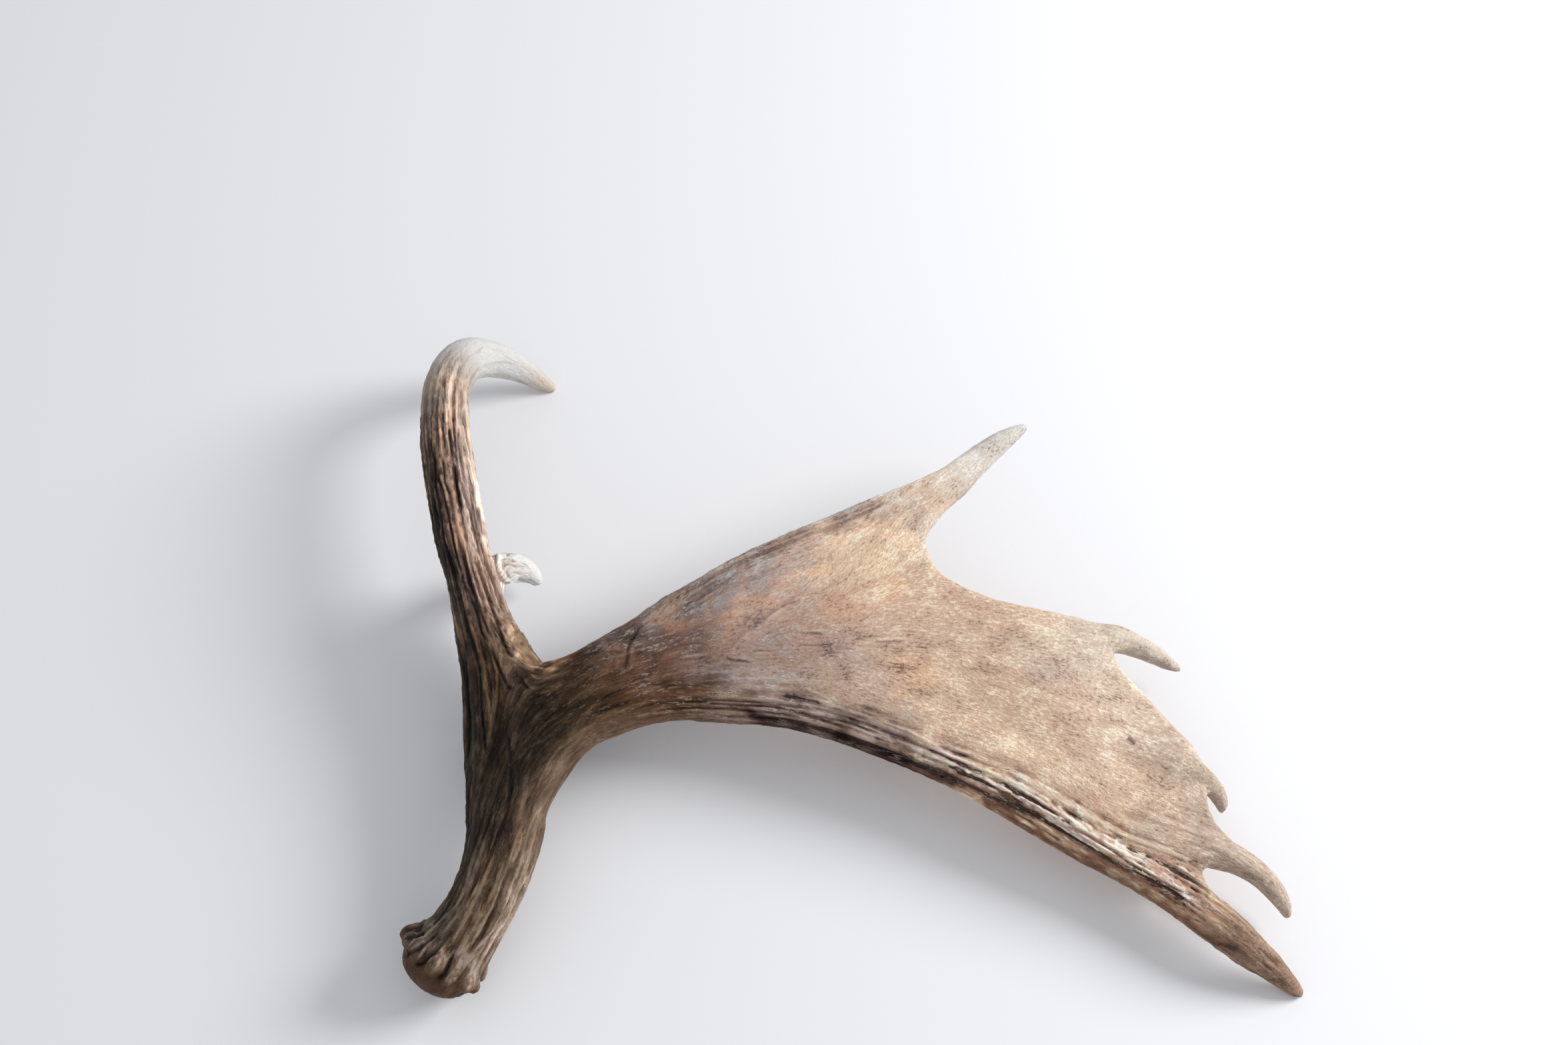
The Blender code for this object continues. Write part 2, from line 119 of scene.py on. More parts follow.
paths = dict(
    beam=((-262, 15, 20), (-241, 16, 49), (-223, 22, 84), (-215, 36, 120), (-214, 54, 158),
          (-215, 69, 203), (-229, 83, 248)),
    brow=((-215, 69, 203), (-229, 83, 248), (-246, 98, 293), (-261, 114, 336), (-273, 132, 380),
          (-284, 156, 427), (-288, 182, 473), (-283, 197, 492), (-264, 226, 504),
          (-237, 255, 497), (-208, 274, 480)),
    notch=((-203, 70, 292), (-201, 72, 268), (-195, 74, 249), (-183, 75, 241), (-168, 75, 245),
           (-148, 76, 259), (-120, 80, 272)),
    second=((-222, 92, 240), (-236, 104, 266), (-246, 130, 300), (-238, 154, 320),
            (-226, 161, 321), (-206, 168, 308)),
    lower=((-222, 28, 102), (-209, 49, 147), (-197, 57, 172), (-171, 64, 197), (-135, 68, 214),
           (-82, 70, 219), (-4, 65, 213), (71, 57, 191), (157, 46, 154), (232, 32, 111),
           (294, 19, 79), (338, 8, 48), (367, 8, 24), (392, 15, 1)),
    upper=((-216, 62, 175), (-205, 72, 212), (-166, 75, 238), (-110, 83, 275), (-35, 93, 322),
           (50, 101, 356), (110, 113, 381), (157, 141, 408), (206, 173, 441)),
    upperInner=((-216, 55, 160), (-190, 68, 205), (-150, 70, 236), (-75, 70, 268), (0, 72, 296),
                (60, 78, 333), (103, 110, 368), (138, 128, 392)),
    secondPalm=((-205, 60, 178), (-165, 68, 218), (-75, 66, 250), (30, 62, 272), (120, 68, 284),
                (190, 70, 277), (250, 80, 268), (302, 103, 251), (324, 113, 239)),
    thirdPalm=((-190, 62, 186), (-120, 66, 228), (-20, 60, 244), (90, 55, 236), (180, 47, 216),
               (260, 43, 194), (320, 53, 164), (345, 67, 137), (346, 71, 130)),
    fourthPalm=((-170, 64, 196), (-82, 66, 228), (20, 58, 228), (112, 46, 202), (190, 38, 172),
                (262, 30, 132), (332, 29, 106), (373, 23, 80), (385, 24, 57)),
)
pathStride = 9.0       # mm between the points that a path is followed by


def smoothPath(points, stride):
    rows = np.array(points, float)
    strides = np.linalg.norm(np.diff(rows, axis=0), axis=1)
    reach = np.concatenate(([0.0], np.cumsum(strides)))
    slopes = np.gradient(rows, reach, axis=0)
    at = np.linspace(0.0, reach[-1], max(3, round(reach[-1] / stride) + 1))
    left = np.clip(np.searchsorted(reach, at, side="right") - 1, 0, len(rows) - 2)
    span = (reach[left + 1] - reach[left])[:, None]
    t = (at[:, None] - reach[left][:, None]) / span
    return ((1 + 2 * t) * (1 - t) ** 2 * rows[left] + t * (1 - t) ** 2 * span * slopes[left]
            + t * t * (3 - 2 * t) * rows[left + 1] + t * t * (t - 1) * span * slopes[left + 1])


def nearestOnPath(spots, line):
    # how far each spot is from the line, and how far along the line it is, from 0 to 1
    nearest = np.full(len(spots), np.inf)
    at = np.zeros(len(spots))
    for k, (start, end) in enumerate(zip(line, line[1:])):
        run = end - start
        offset = spots - start
        reach = offset @ run
        t = np.clip(reach / (run @ run), 0.0, 1.0)
        apart = np.einsum("ij,ij->i", offset, offset) - t * (2 * reach - t * (run @ run))
        closer = apart < nearest
        nearest = np.where(closer, apart, nearest)
        at = np.where(closer, k + t, at)
    return np.sqrt(np.maximum(nearest, 0.0)), at / (len(line) - 1)


def unit(rows):
    return rows / np.maximum(np.linalg.norm(rows, axis=-1, keepdims=True), 1e-9)


def smoothStep(low, high, value):
    t = np.clip((value - low) / (high - low), 0.0, 1.0)
    return t * t * (3 - 2 * t)


# The bare skin, grown over the frame's solids.

def coordinates(mesh):
    spots = np.empty(len(mesh.vertices) * 3, np.float32)
    mesh.vertices.foreach_get("co", spots)
    return spots.reshape(-1, 3)


def gather(corners, values, count):
    # the sum, at every point, of a value for each corner
    return np.column_stack([np.bincount(corners, column, count) for column in values.T])


def normalsOf(spots, quads):
    across = spots[quads[:, 2]] - spots[quads[:, 0]]
    other = spots[quads[:, 3]] - spots[quads[:, 1]]
    facing = np.repeat(np.cross(across, other), 4, axis=0)
    return unit(gather(quads.ravel(), facing, len(spots)))


def edgesOf(quads):
    ends = np.stack((quads, np.roll(quads, -1, axis=1)), axis=-1).reshape(-1, 2)
    ends.sort(axis=1)
    edges, sides = np.unique(ends[:, 0].astype(np.int64) << 32 | ends[:, 1], return_inverse=True)
    return np.column_stack((edges >> 32, edges & 0xffffffff)), sides.reshape(-1, 4)


def soften(spots, edges, rounds, pulls=(skin["loosening"], skin["tightening"])):
    # each round moves every point towards its neighbours and then back out, which takes the
    # facets off and leaves the thickness
    around = edges.T.ravel()
    others = edges[:, ::-1].T.ravel()
    neighbours = np.bincount(around, minlength=len(spots))[:, None]
    for _ in range(rounds):
        for pull in pulls:
            middle = gather(around, spots[others], len(spots)) / neighbours
            spots = spots + pull * (middle - spots)
    return spots


def subdivide(values, quads):
    # every quad becomes four; values holds the columns to carry over, places first
    edges, sides = edgesOf(quads)
    count = len(values)
    values = np.concatenate((values, values[edges].mean(axis=1), values[quads].mean(axis=1)))
    sides = sides + count
    middles = np.arange(len(quads)) + count + len(edges)
    parts = [(quads[:, k], sides[:, k], middles, sides[:, k - 1]) for k in range(4)]
    return values, np.concatenate([np.column_stack(part) for part in parts])


def bareSkin():
    bm = bmesh.new()
    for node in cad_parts.values():
        bm.from_mesh(node.data)
    bmesh.ops.remove_doubles(bm, verts=bm.verts, dist=skin["join"])
    for point in bm.verts:
        point.co += point.normal * skin["swell"] * mm
    mesh = bpy.data.meshes.new("antlerSkin")
    bm.to_mesh(mesh)
    bm.free()
    whole = bpy.data.objects.new("antlerSkin", mesh)
    bpy.context.scene.collection.objects.link(whole)
    grown = whole.modifiers.new("grown", "REMESH")
    grown.mode = "VOXEL"
    grown.voxel_size = skin["cell"] * mm
    graph = bpy.context.evaluated_depsgraph_get()
    grownMesh = whole.evaluated_get(graph).to_mesh()
    spots = coordinates(grownMesh).astype(float)
    quads = np.empty(len(grownMesh.polygons) * 4, np.int32)
    grownMesh.polygons.foreach_get("vertices", quads)
    quads = quads.reshape(-1, 4)
    bpy.data.objects.remove(whole)
    bpy.data.meshes.remove(mesh)
    spots = soften(spots, edgesOf(quads)[0], skin["softenings"])
    spots -= normalsOf(spots, quads) * skin["swell"] * mm
    say("bare skin,", len(quads), "faces")
    return spots, quads


# What the bone looks like in each zone of the antler.

def tone(red, green, blue):
    # a colour given as on a screen, 0 to 255, as the linear light that shaders use
    parts = np.array((red, green, blue)) / 255
    return tuple(np.where(parts < 0.04045, parts / 12.92, ((parts + 0.055) / 1.055) ** 2.4))


# Each zone lies along part of a path, out to a reach in mm. ground is the bone's usual colour
# there, crest that of ridge tops and light flecks, and groove that of grooves and dark flecks, as
# on a screen, 0 to 255. In the lit zones kept to the side that faces the window these colours also
# hold painted light, and in the shaded zones kept to the side turned from it, painted shade.
# relief is the depth of its ridges in mm. lined, streaked, mottled, wrinkled and slated say how
# much the ridges, the long fine streaks, the short flecks, the thin pale wrinkles and the blue-grey
# patches colour it. facing keeps a zone to the side that faces that way, edge says how soft its
# border is there, and weight how much the zone counts.
zones = dict(
    seal=dict(
        path="beam", part=(0.0, 0.06), reach=40, weight=5.0, facing=(-0.58, 0.05, -0.81), edge=0.2,
        relief=0.12, lined=0.05, streaked=0.2, mottled=0.6,
        ground=(84, 56, 35), crest=(106, 76, 50), groove=(41, 25, 14)),
    burr=dict(
        path="beam", part=(0.0, 0.1), reach=26, weight=1.2,
        relief=0.5, lined=0.5, streaked=0.5, mottled=0.7, wrinkled=0.1,
        ground=(123, 98, 80), crest=(180, 160, 143), groove=(44, 33, 26)),
    burrRight=dict(
        path="beam", part=(0.0, 0.3), reach=30, weight=1.6, facing=(1.0, 0.1, 0.0), edge=0.3,
        relief=0.8, lined=0.8, streaked=0.7, mottled=0.6, wrinkled=0.2,
        ground=(102, 81, 62), crest=(147, 129, 110), groove=(52, 36, 24)),
    # lit copy of the beam's bone: lighter colours as painted light on the side that faces the window
    beamLitRight=dict(
        path="beam", part=(0.2, 0.66), reach=30, weight=2.6, facing=(1.0, 0.45, 0.0), edge=0.2,
        relief=0.7, lined=0.5, streaked=0.6, mottled=0.9, wrinkled=0.2,
        ground=(131, 107, 84), crest=(180, 160, 138), groove=(72, 53, 39)),
    beamMiddle=dict(
        path="beam", part=(0.2, 0.62), reach=32, facing=(0.5, -1.0, 0.0),
        relief=0.9, lined=0.7, streaked=0.8, mottled=0.5, wrinkled=0.15,
        ground=(62, 52, 42), crest=(105, 94, 85), groove=(23, 17, 16)),
    # shaded copy of the beam's bone: darker than the lit side, partly the bone's dark stain and
    # partly painted shade on the side turned from the window
    beamShadedLeft=dict(
        path="beam", part=(0.12, 0.9), reach=34, weight=3.0, facing=(-1.0, -0.6, 0.0), edge=0.25,
        relief=0.8, lined=0.7, streaked=0.7, mottled=0.15, wrinkled=0.1,
        ground=(75, 59, 46), crest=(149, 126, 103), groove=(37, 29, 22)),
    fork=dict(
        path="beam", part=(0.6, 1.0), reach=44, weight=4.0,
        relief=0.35, lined=0.4, streaked=0.6, mottled=0.15, wrinkled=0.1,
        ground=(39, 25, 11), crest=(77, 51, 24), groove=(15, 9, 4)),
    forkRight=dict(
        path="lower", part=(0.12, 0.21), reach=28, weight=3.5, facing=(-0.1, -1.0, 0.6),
        relief=0.35, lined=0.4, streaked=0.8, mottled=0.35, wrinkled=0.25,
        ground=(51, 40, 25), crest=(102, 85, 52), groove=(21, 16, 9)),
    innerCurve=dict(
        path="lower", part=(0.05, 0.26), reach=24, weight=3.0, facing=(0.85, 0.2, -0.6), edge=0.16,
        relief=0.4, lined=0.3, streaked=0.5, mottled=0.9, wrinkled=0.2,
        ground=(139, 108, 84), crest=(173, 141, 114), groove=(86, 60, 42)),
    browRoot=dict(
        path="brow", part=(0.06, 0.2), reach=28, weight=1.0,
        relief=1.2, lined=1.0, streaked=0.5, mottled=0.3, wrinkled=0.15,
        ground=(96, 64, 41), crest=(175, 121, 74), groove=(24, 17, 13)),
    browRidges=dict(
        path="brow", part=(0.22, 0.58), reach=28, weight=1.2, facing=(0.3, -1.0, 0.0),
        relief=1.7, lined=1.0, streaked=0.5, mottled=0.3, wrinkled=0.1,
        ground=(140, 109, 100), crest=(234, 188, 149), groove=(39, 32, 34)),
    # shaded copy of the brow's bone: darker, partly the bone's dark stain and partly painted shade on
    # the side turned from the window
    browShadedLeft=dict(
        path="brow", part=(0.04, 0.58), reach=28, weight=5.0, facing=(-1.0, -0.5, 0.0), edge=0.2,
        relief=1.1, lined=0.9, streaked=0.6, mottled=0.15,
        ground=(73, 58, 51), crest=(173, 141, 116), groove=(34, 27, 22)),
    # lit copy of the brow's bone: lighter colours as painted light on the side that faces the window
    browLitRightLow=dict(
        path="brow", part=(0.1, 0.28), reach=26, weight=3.0, facing=(1.0, 0.1, 0.0), edge=0.2,
        relief=0.9, lined=0.7, streaked=0.6, mottled=0.3,
        ground=(179, 148, 122), crest=(203, 181, 160), groove=(106, 75, 55)),
    # lit copy of the brow's bone higher up: lighter colours as painted light on the side that faces
    # the window
    browLitRight=dict(
        path="brow", part=(0.32, 0.6), reach=26, weight=2.0, facing=(1.0, 0.25, 0.0), edge=0.25,
        relief=0.9, lined=0.7, streaked=0.6, mottled=0.3, wrinkled=0.3,
        ground=(180, 161, 145), crest=(218, 209, 195), groove=(97, 80, 70)),
    browFade=dict(
        path="brow", part=(0.64, 0.7), reach=24, weight=1.4,
        relief=0.5, lined=0.7, streaked=0.8, mottled=0.3, wrinkled=0.2,
        ground=(163, 145, 131), crest=(181, 174, 165), groove=(104, 87, 76)),
    browTip=dict(
        path="brow", part=(0.77, 0.93), reach=24, weight=1.2,
        relief=0.12, lined=0.15, streaked=0.8, mottled=0.25,
        ground=(208, 206, 202), crest=(220, 219, 218), groove=(173, 152, 133)),
    browEnd=dict(
        path="brow", part=(0.97, 1.0), reach=16, weight=1.6,
        relief=0.1, lined=0.1, streaked=0.9, mottled=0.4,
        ground=(197, 176, 157), crest=(221, 214, 200), groove=(136, 108, 90)),
    secondTine=dict(
        path="second", part=(0.38, 1.0), reach=22, weight=3.0,
        relief=0.35, lined=0.4, streaked=0.4, mottled=0.8, wrinkled=0.3,
        ground=(227, 225, 221), crest=(239, 239, 236), groove=(161, 137, 115)),
    palmRoot=dict(
        path="upperInner", part=(0.24, 0.4), reach=42, weight=1.6,
        relief=0.22, lined=0.25, streaked=0.35, mottled=0.8, wrinkled=0.9, slated=1.0,
        ground=(72, 42, 23), crest=(107, 72, 45), groove=(36, 26, 22)),
    palmMiddle=dict(
        path="upperInner", part=(0.5, 0.64), reach=40, weight=1.2,
        relief=0.2, lined=0.2, streaked=0.35, mottled=0.9, wrinkled=0.6, slated=0.3,
        ground=(245, 202, 178), crest=(250, 250, 248), groove=(155, 134, 136)),
    palmRootLow=dict(
        path="secondPalm", part=(0.2, 0.4), reach=40, weight=1.4,
        relief=0.25, lined=0.25, streaked=0.35, mottled=0.8, wrinkled=0.8, slated=0.7,
        ground=(100, 61, 39), crest=(152, 103, 71), groove=(43, 26, 18)),
    upperEdge=dict(
        path="upper", part=(0.24, 0.72), reach=18, weight=1.6,
        relief=0.6, lined=0.6, streaked=0.7, mottled=0.6, wrinkled=0.9, slated=0.5,
        ground=(215, 179, 157), crest=(250, 250, 235), groove=(110, 90, 85)),
    palmTop=dict(
        path="upper", part=(0.5, 0.8), reach=44, weight=1.0,
        relief=0.1, lined=0.06, streaked=0.4, mottled=1.0, wrinkled=0.25,
        ground=(203, 176, 152), crest=(231, 217, 199), groove=(141, 114, 99)),
    palmFace=dict(
        path="secondPalm", part=(0.46, 0.74), reach=62, weight=1.3,
        relief=0.08, lined=0.05, streaked=0.45, mottled=1.0, wrinkled=0.25,
        ground=(200, 166, 141), crest=(237, 215, 189), groove=(123, 97, 89)),
    palmLow=dict(
        path="thirdPalm", part=(0.36, 0.78), reach=54, weight=1.2,
        relief=0.1, lined=0.06, streaked=0.4, mottled=1.0, wrinkled=0.12,
        ground=(212, 182, 159), crest=(247, 232, 211), groove=(133, 105, 95)),
    lowerEdgeLeft=dict(
        path="lower", part=(0.25, 0.52), reach=18, weight=3.2,
        relief=0.9, lined=0.8, streaked=0.8, mottled=0.3, wrinkled=0.9,
        ground=(74, 50, 30), crest=(135, 96, 64), groove=(25, 15, 9)),
    lowerEdge=dict(
        path="lower", part=(0.56, 0.86), reach=17, weight=2.6,
        relief=0.9, lined=0.9, streaked=0.8, mottled=0.3, wrinkled=0.6,
        ground=(195, 152, 122), crest=(250, 238, 203), groove=(76, 58, 46)),
    upperTine=dict(
        path="upper", part=(0.85, 1.0), reach=26, weight=1.6,
        relief=0.15, lined=0.2, streaked=0.8, mottled=0.9, wrinkled=0.3,
        ground=(193, 186, 175), crest=(219, 220, 222), groove=(135, 116, 104)),
    secondPalmTine=dict(
        path="secondPalm", part=(0.84, 1.0), reach=24, weight=1.6,
        relief=0.15, lined=0.2, streaked=0.7, mottled=0.9, wrinkled=0.3,
        ground=(191, 178, 162), crest=(220, 213, 199), groove=(120, 105, 91)),
    thirdPalmTine=dict(
        path="thirdPalm", part=(0.86, 1.0), reach=24, weight=1.6,
        relief=0.2, lined=0.2, streaked=0.7, mottled=0.9, wrinkled=0.2,
        ground=(173, 153, 135), crest=(214, 196, 179), groove=(102, 86, 74)),
    fourthPalmTine=dict(
        path="fourthPalm", part=(0.82, 1.0), reach=24, weight=1.6,
        relief=0.25, lined=0.3, streaked=0.9, mottled=0.7, wrinkled=0.4,
        ground=(178, 155, 137), crest=(227, 208, 190), groove=(101, 82, 70)),
    lowestTine=dict(
        path="lower", part=(0.89, 1.0), reach=26, weight=1.6,
        relief=0.55, lined=0.6, streaked=1.0, mottled=0.5, wrinkled=0.5,
        ground=(131, 102, 83), crest=(176, 147, 124), groove=(65, 47, 35)),
)
shades = ("ground", "crest", "groove")
measures = ("relief", "lined", "streaked", "mottled", "wrinkled", "slated")
usualZone = dict(weight=1.0, edge=0.5, wrinkled=0.0, slated=0.0)
farShare = 0.001       # what a zone still counts far beyond its reach


def layZones(seen, facing):
    # the zones' colours and measures at every point, shared out by how near each zone is
    lines = {name: smoothPath(points, pathStride) for name, points in paths.items()}
    total = np.zeros(len(seen))
    mixed = np.zeros((len(seen), 3 * len(shades) + len(measures)))
    for zone in ({**usualZone, **zone} for zone in zones.values()):
        line = lines[zone["path"]]
        start, end = (round(share * (len(line) - 1)) for share in zone["part"])
        gap, _ = nearestOnPath(seen, line[start:end + 1])
        share = zone["weight"] * bell(gap, zone["reach"])
        share += farShare / (1 + (gap / zone["reach"]) ** 2) ** 2
        if "facing" in zone:
            toward = unit(np.array(zone["facing"]))
            share *= smoothStep(-zone["edge"], zone["edge"], facing @ toward)
        total += share
        colours = [tone(*zone[shade]) for shade in shades]
        mixed += share[:, None] * np.concatenate((*colours, [zone[key] for key in measures]))
    return mixed / total[:, None]


def bell(value, width):
    return np.exp(-(value / width) ** 2)


# The grain: which way it runs, and noise combed along it.

grain = dict(cell=12.0, margin=18.0, blend=7.0)   # mm
combed = dict(                                    # mm: how wide a streak is, and half its length
    ridges=dict(cell=3.1, reach=96.0, seed=11, even=0.85),
    cords=dict(cell=2.2, reach=60.0, seed=13, even=0.85),
    swells=dict(cell=7.0, reach=50.0, seed=12),
    beads=dict(cell=2.0, reach=5.0, seed=14),
    blotches=dict(cell=6.0, reach=12.0, seed=15),
    clouds=dict(cell=22.0, reach=30.0, seed=16),
)
combing = dict(
    stride=1.2, perCell=1.3,           # mm from step to step, and steps in each cell of noise
    workers=4, pointsAtOnce=12000,
)
blockSide = 64                         # cells of noise before it repeats


def grainField(seen):
    # which way the grain runs, on a grid of places
    low = seen.min(axis=0) - grain["margin"]
    counts = np.ceil((seen.max(axis=0) + grain["margin"] - low) / grain["cell"]).astype(int) + 1
    steps = [np.arange(count) * grain["cell"] for count in counts]
    nodes = np.stack(np.meshgrid(*steps, indexing="ij"), axis=-1).reshape(-1, 3) + low
    total = np.zeros((len(nodes), 3))
    for points in paths.values():
        line = smoothPath(points, pathStride)
        heading = unit(np.gradient(line, axis=0))
        gap, at = nearestOnPath(nodes, line)
        place = at * (len(line) - 1)
        left = np.minimum(place.astype(int), len(line) - 2)
        part = (place - left)[:, None]
        toward = heading[left] * (1 - part) + heading[left + 1] * part
        total += toward / ((gap ** 2 + grain["blend"] ** 2) ** 2)[:, None]
    return low.astype(np.float32), unit(total).reshape(*counts, 3).astype(np.float32)


def readGrid(values, spots):
    # a grid's values between its nodes; spots are counted in cells
    low = spots.astype(np.int32)
    part = spots - low
    low = np.clip(low, 0, np.array(values.shape[:3]) - 2)
    flat = values.reshape(-1, values.shape[3])
    deep, wide = values.shape[1] * values.shape[2], values.shape[2]
    corner = low[:, 0] * deep + low[:, 1] * wide + low[:, 2]
    x, y, z = (part[:, k:k + 1] for k in range(3))
    total = 0.0
    for shift, share in ((0, (1 - x) * (1 - y)), (wide, (1 - x) * y), (deep, x * (1 - y)),
                         (deep + wide, x * y)):
        start = corner + shift
        total = total + share * (flat[start] * (1 - z) + flat[start + 1] * z)
    return total


def readBlock(block, spots):
    # the same from a block of noise that repeats
    low = np.floor(spots)
    x, y, z = (spots - low).T
    low = low.astype(np.int32) % blockSide
    high = (low + 1) % blockSide
    total = 0.0
    for nextX, shareX in ((low[:, 0], 1 - x), (high[:, 0], x)):
        for nextY, shareY in ((low[:, 1], 1 - y), (high[:, 1], y)):
            line = (nextX * blockSide + nextY) * blockSide
            row = block[line + low[:, 2]] * (1 - z) + block[line + high[:, 2]] * z
            total = total + shareX * shareY * row
    return total


def noiseBlock(layer):
    block = np.random.default_rng(layer["seed"]).standard_normal((blockSide,) * 3)
    if "even" in layer:
        # without its slow swings, so that ridges come at an even distance
        slow = block
        for axis in range(3):
            slow = (np.roll(slow, 1, axis) + slow + np.roll(slow, -1, axis)) / 3
        block = block - layer["even"] * slow
    return block.astype(np.float32).ravel()


def comb(seen, low, field):
    # noise dragged along the grain, so that it turns into streaks that follow every limb
    blocks = {name: noiseBlock(layer) for name, layer in combed.items()}
    stride = combing["stride"]
    steps = int(max(layer["reach"] for layer in combed.values()) / stride)

    def combSome(some):
        sums = {name: np.zeros(len(some), np.float32) for name in combed}
        for way in (1.0, -1.0):
            spots = some.astype(np.float32)
            for step in range(steps):
                far = step * stride
                for name, layer in combed.items():
                    every = max(1, int(layer["cell"] / stride / combing["perCell"]))
                    if far < layer["reach"] and step % every == 0:
                        fade = 0.5 + 0.5 * math.cos(math.pi * far / layer["reach"])
                        place = spots / np.float32(layer["cell"])
                        sums[name] += fade * readBlock(blocks[name], place)
                heading = readGrid(field, (spots - low) / np.float32(grain["cell"]))
                spots = spots + np.float32(way * stride) * heading
        return sums

    many = combing["pointsAtOnce"]
    with ThreadPoolExecutor(combing["workers"]) as pool:
        done = list(pool.map(combSome, [seen[k:k + many] for k in range(0, len(seen), many)]))
    sums = {name: np.concatenate([some[name] for some in done]) for name in combed}
    return {name: values / values.std() for name, values in sums.items()}
